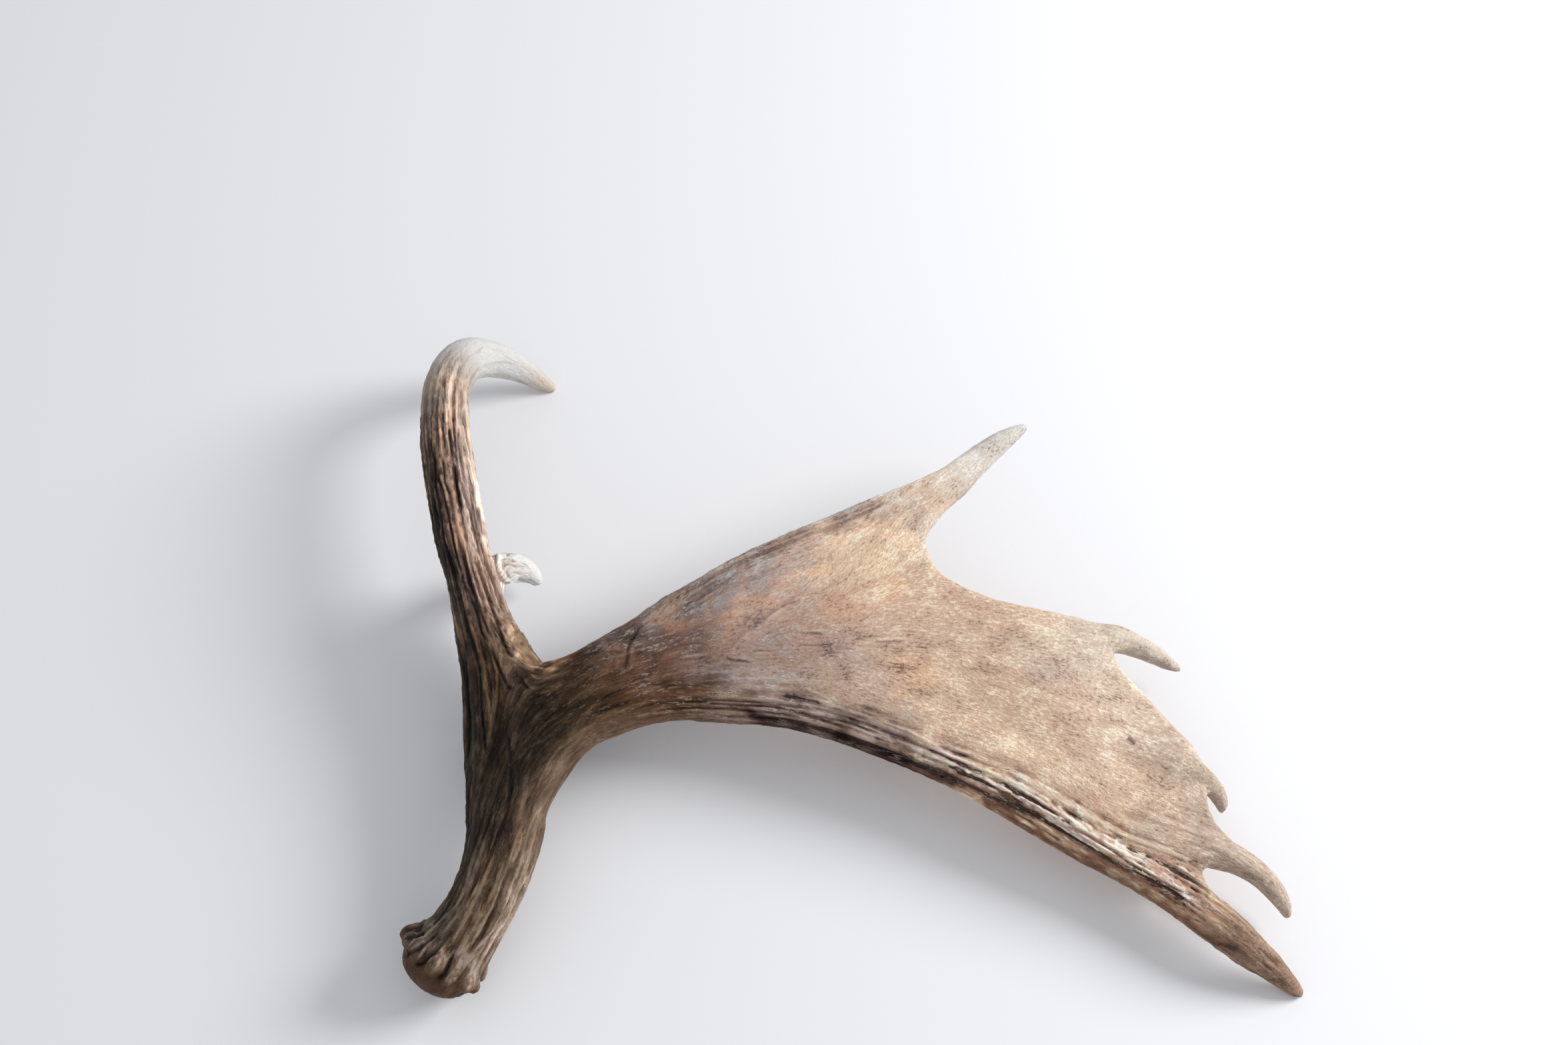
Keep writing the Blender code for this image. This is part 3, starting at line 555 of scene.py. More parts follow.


# Single marks on the outer face: ridges, grooves, creases, cracks and pits. Each has lines,
# across and up. rise is how far they stand out of the bone, or below zero how deep they are, and
# width is half their breadth, all in mm. Their stain darkens them, or below zero lightens them: in
# most marks that is the bone's own colouring, and in the marks noted below it is painted shade,
# or for light ones a painted highlight. broken says how much they come and go on their way.
marking = dict(
    waver=0.6,                           # mm that marks stray
    room=3.0, stains=(-1.0, 1.4),        # widths that a mark reaches out to, least and most stain
    face=(-0.1, 0.15),                   # how far the bone turns to the face before marks begin
    coming=(-1.2, 1.2),                  # where, in the noise, a broken mark comes and goes
)
usualMark = dict(fade=0.2, broken=0.0)   # fade is the share of each end that fades
marks = dict(
    # a real groove, darkened as painted shade: it lies under the lower edge's ridge, which faces down
    # into shadow
    lowerShadowGroove=dict(rise=-1.8, width=2.6, stain_shade=1.3, broken=0.2, lines=[
        ((-34, 211), (55, 189), (88, 179), (122, 166), (189, 135), (205, 130))]),
    # a raised ridge, lightened as broken painted highlights along its crest
    lowerRidge=dict(rise=1.1, width=1.3, stain_shade=-0.9, broken=0.9, lines=[
        ((-28, 224), (-3, 221), (39, 209), (72, 197), (104, 182), (139, 169), (222, 129),
         (238, 120), (270, 99), (302, 82))]),
    # a raised shelf on the lower edge, lightened as broken painted highlights
    lowerShelf=dict(rise=0.7, width=1.1, stain_shade=-0.6, broken=1.0, lines=[
        ((0, 216), (28, 208), (60, 197), (126, 170), (194, 139), (226, 122), (258, 103))]),
    # a raised crest on the lower edge, lightened as broken painted highlights
    lowerCrest=dict(rise=0.7, width=1.2, stain_shade=-0.8, broken=0.9, lines=[
        ((-11, 227), (22, 222), (47, 216), (72, 208), (104, 194), (122, 184), (139, 178),
         (189, 154), (238, 126), (255, 115), (287, 98), (319, 77))]),
    # a real groove under the ridge's far end, darkened as painted shade
    lowerFar=dict(rise=-1.1, width=1.6, stain_shade=0.8, broken=0.5, lines=[
        ((216, 119), (264, 94), (313, 61))]),
    # a real groove just under the ridge, darkened as painted shade
    lowerUpper=dict(rise=-1.2, width=1.5, stain_shade=0.9, broken=0.4, lines=[
        ((205, 131), (230, 122), (246, 113), (262, 101), (291, 84), (311, 76), (348, 46))]),
    notchFold=dict(rise=-1.0, width=1.3, stain_shade=0.6, broken=0.4, lines=[
        ((-209, 247), (-201, 241), (-191, 243), (-182, 250))]),
    notchFoldTwo=dict(rise=-0.8, width=1.3, stain_shade=0.5, broken=0.5, lines=[
        ((-214, 240), (-201, 232), (-187, 234), (-172, 244), (-158, 250))]),
    flowUp=dict(rise=-0.8, width=1.5, stain_shade=0.5, broken=0.5, lines=[
        ((-46, 261), (-24, 279), (21, 310))]),
    flowSide=dict(rise=0.5, width=1.6, stain_shade=-0.4, broken=0.6, lines=[((-41, 262), (4, 296))]),
    flowLow=dict(rise=-0.9, width=0.9, stain_shade=1.0, broken=0.2, lines=[
        ((-47, 255), (-40, 251), (-24, 249))]),
    crackOne=dict(rise=-0.6, width=0.7, stain_shade=0.6, broken=0.3, lines=[
        ((8, 265), (24, 264), (38, 265))]),
    crackTwo=dict(rise=-0.5, width=0.6, stain_shade=0.5, broken=0.4, lines=[
        ((56, 268), (66, 270), (80, 270))]),
    crackThree=dict(rise=-0.4, width=0.6, stain_shade=0.45, broken=0.5, lines=[((137, 248), (168, 240))]),
    crackFour=dict(rise=-0.5, width=0.7, stain_shade=0.45, broken=0.3, lines=[
        ((-86, 262), (-70, 264), (-58, 262))]),
    pit=dict(rise=-0.8, width=1.5, stain_shade=1.0, fade=0.001, lines=[((266, 193), (271, 189))]),
    paleSpot=dict(rise=0.0, width=2.4, stain_shade=-1.2, fade=0.001, lines=[((252, 117), (260, 112))]),
    browGrooves=dict(rise=-1.6, width=1.0, stain_shade=1.15, broken=0.2, lines=[
        ((-291, 430), (-285, 388), (-280, 374), (-275, 346), (-244, 268)),
        ((-286, 408), (-283, 394), (-278, 385), (-270, 360), (-263, 334), (-255, 313)),
        ((-282, 416), (-277, 393), (-271, 383)),
        ((-261, 353), (-252, 318), (-248, 306), (-233, 274), (-229, 268)),
        ((-273, 411), (-261, 367)),
        ((-251, 341), (-226, 277), (-217, 259), (-211, 252)),
        ((-262, 407), (-248, 353), (-243, 338), (-217, 273)),
        ((-251, 374), (-243, 346)),
        ((-256, 377), (-253, 362), (-244, 333), (-225, 284)),
        ((-255, 312), (-241, 282), (-238, 272), (-231, 265)),
        ((-252, 260), (-245, 200), (-245, 180)),
        ((-240, 261), (-236, 218), (-232, 196), (-230, 177)),
        ((-231, 265), (-227, 254), (-221, 241), (-215, 232), (-210, 228)),
        ((-279, 439), (-273, 411)),
        ((-272, 440), (-269, 424), (-260, 389))]),
    browCrests=dict(rise=0.6, width=1.0, stain_shade=-0.7, broken=0.5, lines=[
        ((-284, 435), (-272, 388), (-266, 373), (-261, 353), (-257, 341), (-254, 330)),
        ((-273, 423), (-267, 394), (-255, 365), (-253, 353), (-246, 335), (-221, 280)),
        ((-265, 318), (-258, 307), (-249, 281), (-244, 273)),
        ((-280, 387), (-267, 334), (-255, 315)),
        ((-259, 408), (-248, 370), (-241, 341), (-223, 295), (-205, 260)),
        ((-242, 268), (-237, 241), (-230, 221), (-228, 206), (-227, 187)),
        ((-247, 242), (-240, 191), (-239, 152))]),
    beamGrooves=dict(rise=-1.2, width=1.5, stain_shade=0.9, broken=0.4, lines=[
        ((-216, 207), (-211, 182), (-209, 153), (-212, 135), (-222, 107), (-229, 92), (-242, 71)),
        ((-219, 89), (-248, 34)),
        ((-246, 170), (-243, 146), (-243, 125), (-245, 108), (-254, 80), (-263, 68)),
        ((-234, 145), (-239, 104), (-254, 70), (-264, 57)),
        ((-204, 105), (-210, 91), (-214, 76), (-226, 50), (-233, 39)),
        ((-194, 152), (-199, 135), (-204, 123))]),
    beamCrests=dict(rise=0.8, width=0.9, stain_shade=-0.8, broken=0.5, lines=[
        ((-220, 153), (-221, 137), (-236, 89), (-243, 76), (-261, 57), (-272, 49), (-279, 47)),
        ((-206, 162), (-209, 148), (-218, 123), (-223, 106), (-232, 83), (-238, 72), (-269, 35)),
        ((-217, 93), (-245, 38), (-248, 27)),
        ((-199, 122), (-201, 111), (-206, 101)),
        ((-192, 134), (-200, 100), (-205, 88), (-212, 64), (-219, 52), (-246, 25)),
        ((-193, 92), (-199, 83), (-209, 60), (-217, 49), (-230, 24)),
        ((-239, 216), (-236, 175)),
        ((-242, 110), (-255, 76), (-262, 66), (-270, 58), (-275, 54)),
        ((-234, 139), (-239, 108), (-243, 94), (-249, 82), (-255, 70), (-272, 53)),
        ((-183, 149), (-186, 141), (-191, 134), (-193, 128)),
        ((-160, 194), (-174, 185), (-181, 176), (-187, 164), (-191, 152))]),
    knobs=dict(rise=1.8, width=3.4, stain_shade=0.0, lines=[
        ((-284, 41), (-275, 46), (-268, 49)),
        ((-282, 50), (-275, 51)),
        ((-278, 35), (-262, 44)),
        ((-265, 25), (-259, 33), (-251, 40)),
        ((-241, 34), (-245, 22))]),
    knobCreases=dict(rise=-1.8, width=1.1, stain_shade=1.2, broken=0.2, lines=[
        ((-286, 47), (-275, 50), (-268, 54)),
        ((-288, 50), (-271, 55)),
        ((-285, 34), (-257, 53)),
        ((-275, 30), (-269, 32), (-252, 48)),
        ((-258, 21), (-253, 25), (-244, 41))]),
    forkCreases=dict(rise=-1.2, width=1.3, stain_shade=0.45, broken=0.2, lines=[
        ((-166, 254), (-155, 257), (-145, 258), (-134, 258), (-125, 256)),
        ((-110, 278), (-114, 276), (-121, 266), (-123, 260), (-124, 249), (-130, 238))]),
    forkBumps=dict(rise=0.9, width=2.2, stain_shade=-0.25, broken=0.3, lines=[
        ((-118, 268), (-120, 259), (-120, 252), (-122, 245)),
        ((-130, 252), (-132, 243))]),
    forkLines=dict(rise=0.5, width=0.7, stain_shade=-0.8, broken=0.7, lines=[
        ((-185, 239), (-175, 243), (-165, 249), (-151, 253)),
        ((-166, 238), (-160, 241), (-154, 247), (-144, 252)),
        ((-163, 202), (-157, 209), (-149, 216), (-141, 220)),
        ((-109, 230), (-100, 230), (-81, 236)),
        ((-94, 229), (-71, 233)),
        ((-83, 254), (-74, 256)),
        ((-73, 253), (-66, 253), (-54, 256)),
        ((-88, 271), (-86, 274), (-80, 276)),
        ((-82, 265), (-76, 268))]),
    upperGrooves=dict(rise=-1.0, width=0.65, stain_shade=0.5, broken=0.3, lines=[
        ((-294, 457), (-295, 444), (-292, 419), (-287, 407)),
        ((-287, 482), (-285, 467), (-282, 457)),
        ((-281, 455), (-280, 444), (-275, 419)),
        ((-277, 457), (-275, 446), (-272, 439)),
        ((-277, 483), (-271, 444)),
        ((-269, 457), (-268, 445), (-262, 419)),
        ((-285, 454), (-279, 429)),
        ((-289, 454), (-283, 434))]),
    upperCrests=dict(rise=0.6, width=0.9, stain_shade=-0.5, broken=0.4, lines=[
        ((-289, 467), (-285, 454), (-280, 441)),
        ((-280, 457), (-274, 429), (-269, 397)),
        ((-271, 457), (-269, 444), (-258, 397)),
        ((-294, 457), (-293, 446), (-288, 439), (-283, 424), (-283, 412)),
        ((-275, 457), (-271, 429))]),
    hookStreaks=dict(rise=-0.15, width=0.7, stain_shade=0.6, broken=0.6, lines=[
        ((-262, 498), (-245, 501), (-233, 497), (-221, 489), (-213, 481)),
        ((-259, 490), (-245, 489), (-228, 483)),
        ((-250, 509), (-224, 493)),
        ((-267, 506), (-261, 514)),
        ((-286, 511), (-289, 495), (-287, 483)),
        ((-277, 511), (-277, 483))]),
    palmLines=dict(rise=0.45, width=0.55, stain_shade=-0.9, broken=0.5, lines=[
        ((12, 273), (32, 274)),
        ((68, 268), (100, 269)),
        ((82, 275), (97, 276), (116, 275)),
        ((-84, 254), (-56, 257)),
        ((12, 298), (21, 301))]),
    # the first three lie 2 mm below the pale lines above and are their painted shadows; the last two
    # are real cracks
    palmCracksAndShadows=dict(rise=-0.5, width=0.6, stain_shade=0.9, broken=0.4, lines=[
        ((12, 271), (32, 272)),
        ((68, 266), (96, 267)),
        ((-84, 252), (-56, 255)),
        ((-4, 292), (2, 295), (11, 297)),
        ((-27, 259), (-4, 259))]),
    forkFolds=dict(rise=0.7, width=0.9, stain_shade=-0.8, broken=0.4, lines=[
        ((-206, 249), (-197, 245), (-186, 244), (-174, 247)),
        ((-203, 243), (-193, 238), (-182, 238), (-164, 246)),
        ((-208, 241), (-195, 229), (-189, 231), (-184, 235)),
        ((-192, 226), (-174, 231)),
        ((-175, 227), (-148, 243)),
        ((-171, 216), (-161, 224), (-151, 230)),
        ((-194, 194), (-175, 213))]),
    # real grooves just below the pale folds and lines above, darkened as their painted shadows
    forkFoldShadows=dict(rise=-0.9, width=0.9, stain_shade=0.6, broken=0.3, lines=[
        ((-208, 246), (-196, 241), (-184, 241), (-172, 244)),
        ((-212, 242), (-204, 236), (-198, 229)),
        ((-195, 223), (-177, 229)),
        ((-157, 200), (-151, 208), (-143, 215), (-136, 218))]),
    secondLines=dict(rise=-0.4, width=0.7, stain_shade=0.8, broken=0.5, lines=[
        ((-241, 332), (-231, 334), (-223, 333)),
        ((-235, 329), (-231, 329), (-222, 326)),
        ((-233, 324), (-229, 325), (-221, 322)),
        ((-230, 319), (-227, 310)),
        ((-229, 319), (-229, 308))]),
    pore=dict(rise=-1.2, width=1.2, stain_shade=0.9, fade=0.001, lines=[((-232, 333), (-230, 332))]),
    # real grooves along the lower border, darkened as painted shade: this band lies under the lower
    # edge's ridge and faces down
    borderShadows=dict(rise=-1.1, width=0.9, stain_shade=1.0, broken=0.3, lines=[
        ((-120, 215), (-98, 218), (-70, 219), (-8, 215), (42, 205), (70, 197), (125, 179)),
        ((-112, 210), (-76, 213), (-42, 213), (-8, 210), (15, 206)),
        ((-84, 223), (-28, 220), (26, 213)),
        ((-70, 207), (-28, 207), (3, 205), (29, 199)),
        ((-145, 220), (-134, 226), (-121, 230)),
        ((-148, 208), (-134, 215), (-117, 220))]),
    borderPales=dict(rise=0.6, width=0.7, stain_shade=-0.5, broken=0.5, lines=[
        ((-129, 226), (-81, 231), (-36, 225)),
        ((-92, 223), (-61, 226), (-14, 222), (37, 214), (65, 206), (120, 186)),
        ((-98, 217), (-61, 217), (-33, 215), (26, 210), (48, 206)),
        ((26, 216), (54, 211), (81, 203), (125, 186)),
        ((-137, 208), (-117, 217), (-98, 221), (-70, 223)),
        ((-126, 205), (-104, 209), (-76, 211), (-47, 210)),
        ((-137, 226), (-115, 234), (-93, 239)),
        ((-109, 237), (-81, 242), (-59, 245))]),
)

# Tints over the outer face: where each lies, across and up, how far it reaches along and across
# its slant in mm, the slant in degrees, and what it multiplies the colours by. One with a line
# lies along it, out to its width. more is what a tint adds to the measures. The tints noted below
# as painted shade or painted light darken or lighten the bone for how the light falls on it.
tintEdge = 0.25        # how far the bone turns away while a tint fades out
tints = dict(
    rootPurple=dict(at=(-10, 268), reach=(34, 16), slant=10, by=(0.88, 0.9, 0.98)),
    middlePurple=dict(at=(54, 256), reach=(36, 15), slant=-12, by=(0.88, 0.91, 1.02)),
    farPatch=dict(at=(212, 246), reach=(34, 17), slant=-25, by=(0.89, 0.95, 1.02)),
    rootRed=dict(at=(-84, 268), reach=(24, 16), slant=20, by=(1.2, 1.12, 1.06)),
    rootGrey=dict(at=(-34, 306), reach=(50, 12), slant=26, by=(0.64, 0.7, 0.81)),
    topCream=dict(at=(62, 324), reach=(34, 16), slant=10, by=(1.21, 1.24, 1.12)),
    middleCream=dict(at=(176, 214), reach=(50, 24), slant=-24, by=(0.92, 0.88, 0.83)),
    middleOrange=dict(at=(96, 246), reach=(34, 12), slant=-12, by=(1.22, 1.12, 0.98)),
    lowOrange=dict(at=(236, 150), reach=(30, 12), slant=-32, by=(0.71, 0.66, 0.66)),
    bayCream=dict(
        at=(110, 350), reach=(10, 22), slant=-20, by=(0.87, 0.92, 1.01), more=dict(wrinkled=0.7)),
    forkBlack=dict(at=(-196, 190), reach=(44, 28), slant=70, by=(0.39, 0.35, 0.31)),
    notchTan=dict(at=(-190, 262), reach=(26, 8), slant=-55, by=(2.44, 2.6, 2.6)),
    rootBright=dict(at=(-60, 236), reach=(50, 8), slant=0, by=(1.48, 1.74, 2.09)),
    # darker band along the upper rim: partly the rim's grey ridged bone, partly painted shade where
    # the palm turns back from the light
    rim=dict(
        line=((-150, 268), (-110, 294), (-75, 314), (-30, 338), (19, 359), (64, 380)), width=13,
        by=(0.59, 0.56, 0.59), more=dict(relief=0.9, lined=0.4, wrinkled=0.3)),
    rimEnd=dict(
        line=((64, 380), (119, 402), (150, 418)), width=9, by=(1.28, 1.32, 1.32),
        more=dict(relief=0.5, lined=0.3, wrinkled=0.3)),
    lowerBand=dict(
        line=((-20, 220), (22, 212), (58, 200), (96, 186), (136, 169), (166, 155), (196, 141),
        (230, 122), (270, 99), (310, 78)), width=8, by=(0.89, 0.91, 1.09), more=dict(relief=0.7,
        lined=0.6, wrinkled=0.5, mottled=-0.5)),
    # near-black band under the lower edge: painted shade, where the edge rolls under and faces down
    lowerShadowBand=dict(
        line=((-30, 207), (10, 196), (50, 184), (90, 168), (130, 155)), width=8,
        by=(0.15, 0.1, 0.1)),
    # darker lip of the lower edge: partly its brown bone, partly painted shade as it turns down
    lowerLip=dict(
        line=((157, 141), (173, 130), (206, 112), (239, 96), (272, 78), (303, 60), (334, 40)),
        width=5, by=(0.35, 0.27, 0.23), more=dict(relief=-0.6, lined=-0.6, wrinkled=-0.3)),
    # darker left edge of the brow: partly the bone's dark stain, partly painted shade on the side
    # turned from the window
    browShadedSide=dict(
        line=((-296, 411), (-257, 282), (-255, 256), (-244, 196)), width=8, by=(0.28, 0.31, 0.29)),
    # darker left side of the brow higher up: partly the bone's stain, partly painted shade
    browShadedTop=dict(line=((-304, 469), (-299, 417)), width=6, by=(0.67, 0.73, 0.79)),
    browMiddle=dict(
        line=((-283, 439), (-274, 405), (-254, 346), (-225, 267)), width=7, by=(1.25, 1.23, 1.3)),
    # lighter right edge of the brow: painted light on the side that faces the window
    browLitSide=dict(line=((-262, 411), (-234, 324), (-211, 271)), width=4, by=(1.57, 1.63, 1.67)),
    browBend=dict(line=((-295, 486), (-291, 511), (-280, 524)), width=8, by=(0.94, 0.93, 0.92)),
    browUpper=dict(line=((-284, 486), (-275, 434)), width=8, by=(1.85, 1.72, 1.6)),
    browLow=dict(line=((-230, 252), (-215, 207)), width=10, by=(0.68, 0.62, 0.48)),
    notchEdge=dict(
        line=((-213, 274), (-203, 257), (-190, 250), (-171, 252)), width=4, by=(2.53, 2.6, 2.6)),
    # darker left side of the beam: partly the bone's dark stain, partly painted shade on the side
    # turned from the window
    beamShadedSide=dict(
        line=((-245, 208), (-239, 171), (-232, 143), (-233, 119), (-239, 95), (-253, 71),
        (-268, 55)), width=10, by=(0.68, 0.79, 0.87)),
    beamCore=dict(
        line=((-222, 202), (-215, 172), (-217, 143), (-222, 120)), width=9, by=(0.44, 0.42, 0.4)),
    beamBrown=dict(
        line=((-208, 134), (-214, 106), (-224, 82), (-237, 58), (-250, 40)), width=7,
        by=(1.03, 0.95, 0.87)),
    # lighter right edge of the beam: painted light on the side that faces the window
    beamLitSide=dict(
        line=((-175, 171), (-182, 150), (-192, 108), (-199, 84), (-210, 57), (-222, 32),
        (-235, 15)), width=7, by=(1.76, 1.86, 2.09)),
    innerPale=dict(
        line=((-113, 202), (-144, 196), (-163, 184), (-175, 171)), width=6, by=(1.23, 1.28, 1.45)),
    forkCore=dict(line=((-210, 217), (-184, 209), (-159, 219)), width=14, by=(0.77, 0.77, 0.77)),
    forkUpper=dict(line=((-196, 237), (-165, 245), (-144, 254)), width=7, by=(0.68, 0.79, 0.89)),
    domeLeft=dict(line=((-284, 27), (-277, 12), (-267, 2)), width=7, by=(0.75, 0.69, 0.62)),
    domeMiddle=dict(line=((-256, 11), (-244, 2), (-229, 1)), width=6, by=(0.72, 0.64, 0.54)),
    knobTone=dict(line=((-281, 43), (-261, 42), (-241, 29)), width=7, by=(1.23, 1.3, 1.49)),
    rootMiddle=dict(line=((-113, 257), (-61, 277)), width=9, by=(1, 0.95, 0.94)),
    rootTop=dict(line=((-93, 295), (-62, 314), (-33, 327)), width=8, by=(0.93, 0.95, 0.94)),
    rootLow=dict(
        line=((-113, 240), (-71, 244), (-29, 244), (18, 241)), width=7, by=(0.98, 1.03, 1.12)),
    rootOrange=dict(line=((-45, 285), (-8, 306), (29, 322)), width=8, by=(1.22, 1.13, 1.03)),
    middleStroke=dict(line=((7, 280), (44, 293), (86, 304)), width=9, by=(1.04, 0.94, 0.86)),
    upperStroke=dict(line=((29, 340), (66, 351), (101, 351)), width=9, by=(1.38, 1.38, 1.29)),
    farStroke=dict(line=((201, 268), (243, 247), (272, 216)), width=15, by=(1.04, 1.11, 1.12)),
    farLow=dict(line=((269, 172), (289, 146), (302, 122)), width=13, by=(1.13, 1.09, 1.05)),
    middleLow=dict(
        line=((105, 217), (156, 197), (207, 172), (257, 142)), width=11, by=(1.21, 1.2, 1.13)),
    bayRim=dict(
        line=((114, 356), (119, 332), (142, 310), (181, 296), (224, 285), (257, 282)), width=4,
        by=(0.97, 1.04, 1.04)),
    farEdge=dict(
        line=((288, 252), (295, 231), (319, 201), (340, 180), (357, 158)), width=6,
        by=(0.95, 0.95, 0.97)),
    # darker underside of the second palm tine: painted shade
    secondTineShade=dict(line=((279, 255), (319, 242)), width=4, by=(0.77, 0.74, 0.76)),
)


def addMarks(seen, facing, layers):
    # how far the marks raise every point, in mm, and how much they stain it
    rise = np.zeros(len(seen))
    stain_shade = np.zeros(len(seen))
    outer = smoothStep(*marking["face"], -facing[:, 1])
    flat = seen[:, (0, 2)]
    flat[:, 1] += marking["waver"] * layers["swells"]
    coming = smoothStep(*marking["coming"], layers["beads"] + layers["blotches"])
    for mark in ({**usualMark, **mark} for mark in marks.values()):
        for line in (np.array(points, float) for points in mark["lines"]):
            room = marking["room"] * mark["width"]
            near = (outer > 0) & (flat > line.min(axis=0) - room).all(axis=1)
            near = np.flatnonzero(near & (flat < line.max(axis=0) + room).all(axis=1))
            gap, at = nearestOnPath(flat[near], line)
            share = bell(gap, mark["width"]) * outer[near] * smoothStep(0.0, mark["fade"], at)
            share *= smoothStep(1.0, 1 - mark["fade"], at)
            share *= 1 - mark["broken"] * (1 - coming[near])
            rise[near] += mark["rise"] * share
            stain_shade[near] += mark["stain_shade"] * share
    return rise, np.clip(stain_shade, *marking["stains"])


def layTints(seen, facing, zoned):
    # the zones' colours and measures again, with the tints over them
    outer = smoothStep(-tintEdge, tintEdge, -facing[:, 1])
    flat = seen[:, (0, 2)]
    colours = len(shades) * 3
    for patch in tints.values():
        if "line" in patch:
            share = bell(nearestOnPath(flat, np.array(patch["line"], float))[0], patch["width"])
        else:
            slant = math.radians(patch["slant"])
            offset = flat - np.array(patch["at"])
            along = offset @ (math.cos(slant), math.sin(slant)) / patch["reach"][0]
            athwart = offset @ (-math.sin(slant), math.cos(slant)) / patch["reach"][1]
            share = np.exp(-along ** 2 - athwart ** 2)
        share = share * outer
        zoned[:, :colours] *= 1 + share[:, None] * (np.tile(patch["by"], len(shades)) - 1)
        for key, extra in patch.get("more", {}).items():
            zoned[:, colours + measures.index(key)] += share * extra
    return np.maximum(zoned, 0.0)


# Dressing the skin.

# Ridges are broad and round with narrow grooves between them: groove is where, in the combed noise,
# a groove begins and ends.
carving = dict(
    swell=0.3, ridge=0.95, cord=0.5, bead=0.14,   # shares of the relief
    groove=(-1.2, 0.0), round=0.12,
    roughness=0.05,                               # mm, all over
)
# Borders between colours stray by noise of these cells and reaches, in mm. Painted shade darkens the
# hollows, and a painted highlight lightens what stands out.
straying = (dict(cell=15.0, reach=7.0, seed=21), dict(cell=5.0, reach=2.5, seed=22))
axesApart = 20.0       # cells between the places in the noise that two axes are read from
hollowShading = dict(rounds=10, least=0.06, darken=0.9, lighten=0.35, most=0.8)


def stray(seen):
    moved = seen.copy()
    for layer in straying:
        block = noiseBlock(layer)
        for axis in range(3):
            place = seen / layer["cell"] + axesApart * axis
            moved[:, axis] += layer["reach"] * readBlock(block, place)
    return moved


def paintedHollowShade(spots, edges, facing):
    # painted shade where the skin lies below its own softened shape, and a painted highlight where
    # it stands above
    softened = soften(spots, edges, hollowShading["rounds"], (skin["loosening"],))
    depth = np.einsum("ij,ij->i", softened - spots, facing) / mm
    dark = np.maximum(depth - hollowShading["least"], 0.0) * hollowShading["darken"]
    light = np.maximum(-depth - hollowShading["least"], 0.0) * hollowShading["lighten"]
    return np.clip(dark - light, -hollowShading["most"], hollowShading["most"])


def dressSkin(spots, quads):
    seen = asSeen(spots)
    facing = normalsOf(spots, quads) @ faceAxes
    strayed = stray(seen)
    zoned = layTints(strayed, facing, layZones(strayed, facing))
    # painted shade in the hollows, and a painted highlight on what stands out
    hollowShade = paintedHollowShade(spots, edgesOf(quads)[0], facing @ faceAxes.T)
    say("zones laid")
    values, quads = subdivide(np.column_stack((spots, zoned, hollowShade)), quads)
    spots = soften(values[:, :3], edgesOf(quads)[0], skin["finerSoftenings"])
    seen = asSeen(spots)
    fieldLow, field = grainField(seen)
    layers = comb(seen, fieldLow, field)
    say("grain combed over", len(seen), "points")
    facing = normalsOf(spots, quads)
    looks = dict(zip(measures, values[:, 3 + 3 * len(shades):-1].T))
    looks.update((shade, values[:, 3 + 3 * k:6 + 3 * k]) for k, shade in enumerate(shades))
    ridged, corded = (smoothStep(*carving["groove"], layers[key]) - 1 + carving["round"] * layers[key]
                      for key in ("ridges", "cords"))
    marked, stain_shade = addMarks(seen, facing @ faceAxes, layers)
    # the marks' stains, with the painted hollow shade and highlight added
    looks["stain_shade"] = stain_shade + values[:, -1]
    rise = looks["relief"] * (carving["swell"] * layers["swells"] + carving["ridge"] * ridged
                              + carving["cord"] * corded + carving["bead"] * layers["beads"])
    rise += carving["roughness"] * layers["beads"] + marked
    spots = spots + facing * (rise * mm)[:, None]
    low, high = (np.array(corner) for corner in cadBox)
    spots = np.clip(spots, low, high)
    heading = readGrid(field, ((seen - fieldLow) / grain["cell"]).astype(np.float32))
    looks.update(layers, smoothed=normalsOf(spots, quads), heading=heading @ faceAxes.T)
    return spots, quads, looks


# Parting it at the fork.

parting = dict(
    fork=(-179, 252),                       # across, up
    cuts=dict(belowBrow=(-420, 148), besidePalm=(60, -140), between=(-60, 700)),
    pieces=dict(                            # the two cuts it lies between, its node and its slot
        antlerBeam=("belowBrow", "besidePalm", "beam", "beam_bone"),
        antlerBrow=("between", "belowBrow", "brow_branch", "brow_bone"),
        antlerPalm=("besidePalm", "between", "palm", "palm_bone"),
    ),
    mostTriangles=196000,
)


def leftOf(seen, cut):
    fork = np.array(parting["fork"], float)
    run = np.array(parting["cuts"][cut], float) - fork
    offset = seen[:, (0, 2)] - fork
    return run[0] * offset[:, 1] - run[1] * offset[:, 0] > 0


def newPiece(name, spots, quads, looks):
    mesh = bpy.data.meshes.new(name)
    mesh.vertices.add(len(spots))
    mesh.vertices.foreach_set("co", spots.astype(np.float32).ravel())
    mesh.loops.add(4 * len(quads))
    mesh.loops.foreach_set("vertex_index", quads.astype(np.int32).ravel())
    mesh.polygons.add(len(quads))
    mesh.polygons.foreach_set("loop_start", np.arange(0, 4 * len(quads), 4, dtype=np.int32))
    mesh.update(calc_edges=True)
    for key, values in looks.items():
        wide = values.ndim > 1
        made = mesh.attributes.new(key, "FLOAT_VECTOR" if wide else "FLOAT", "POINT")
        made.data.foreach_set("vector" if wide else "value", values.astype(np.float32).ravel())
    piece = bpy.data.objects.new(name, mesh)
    bpy.context.scene.collection.objects.link(piece)
    return piece


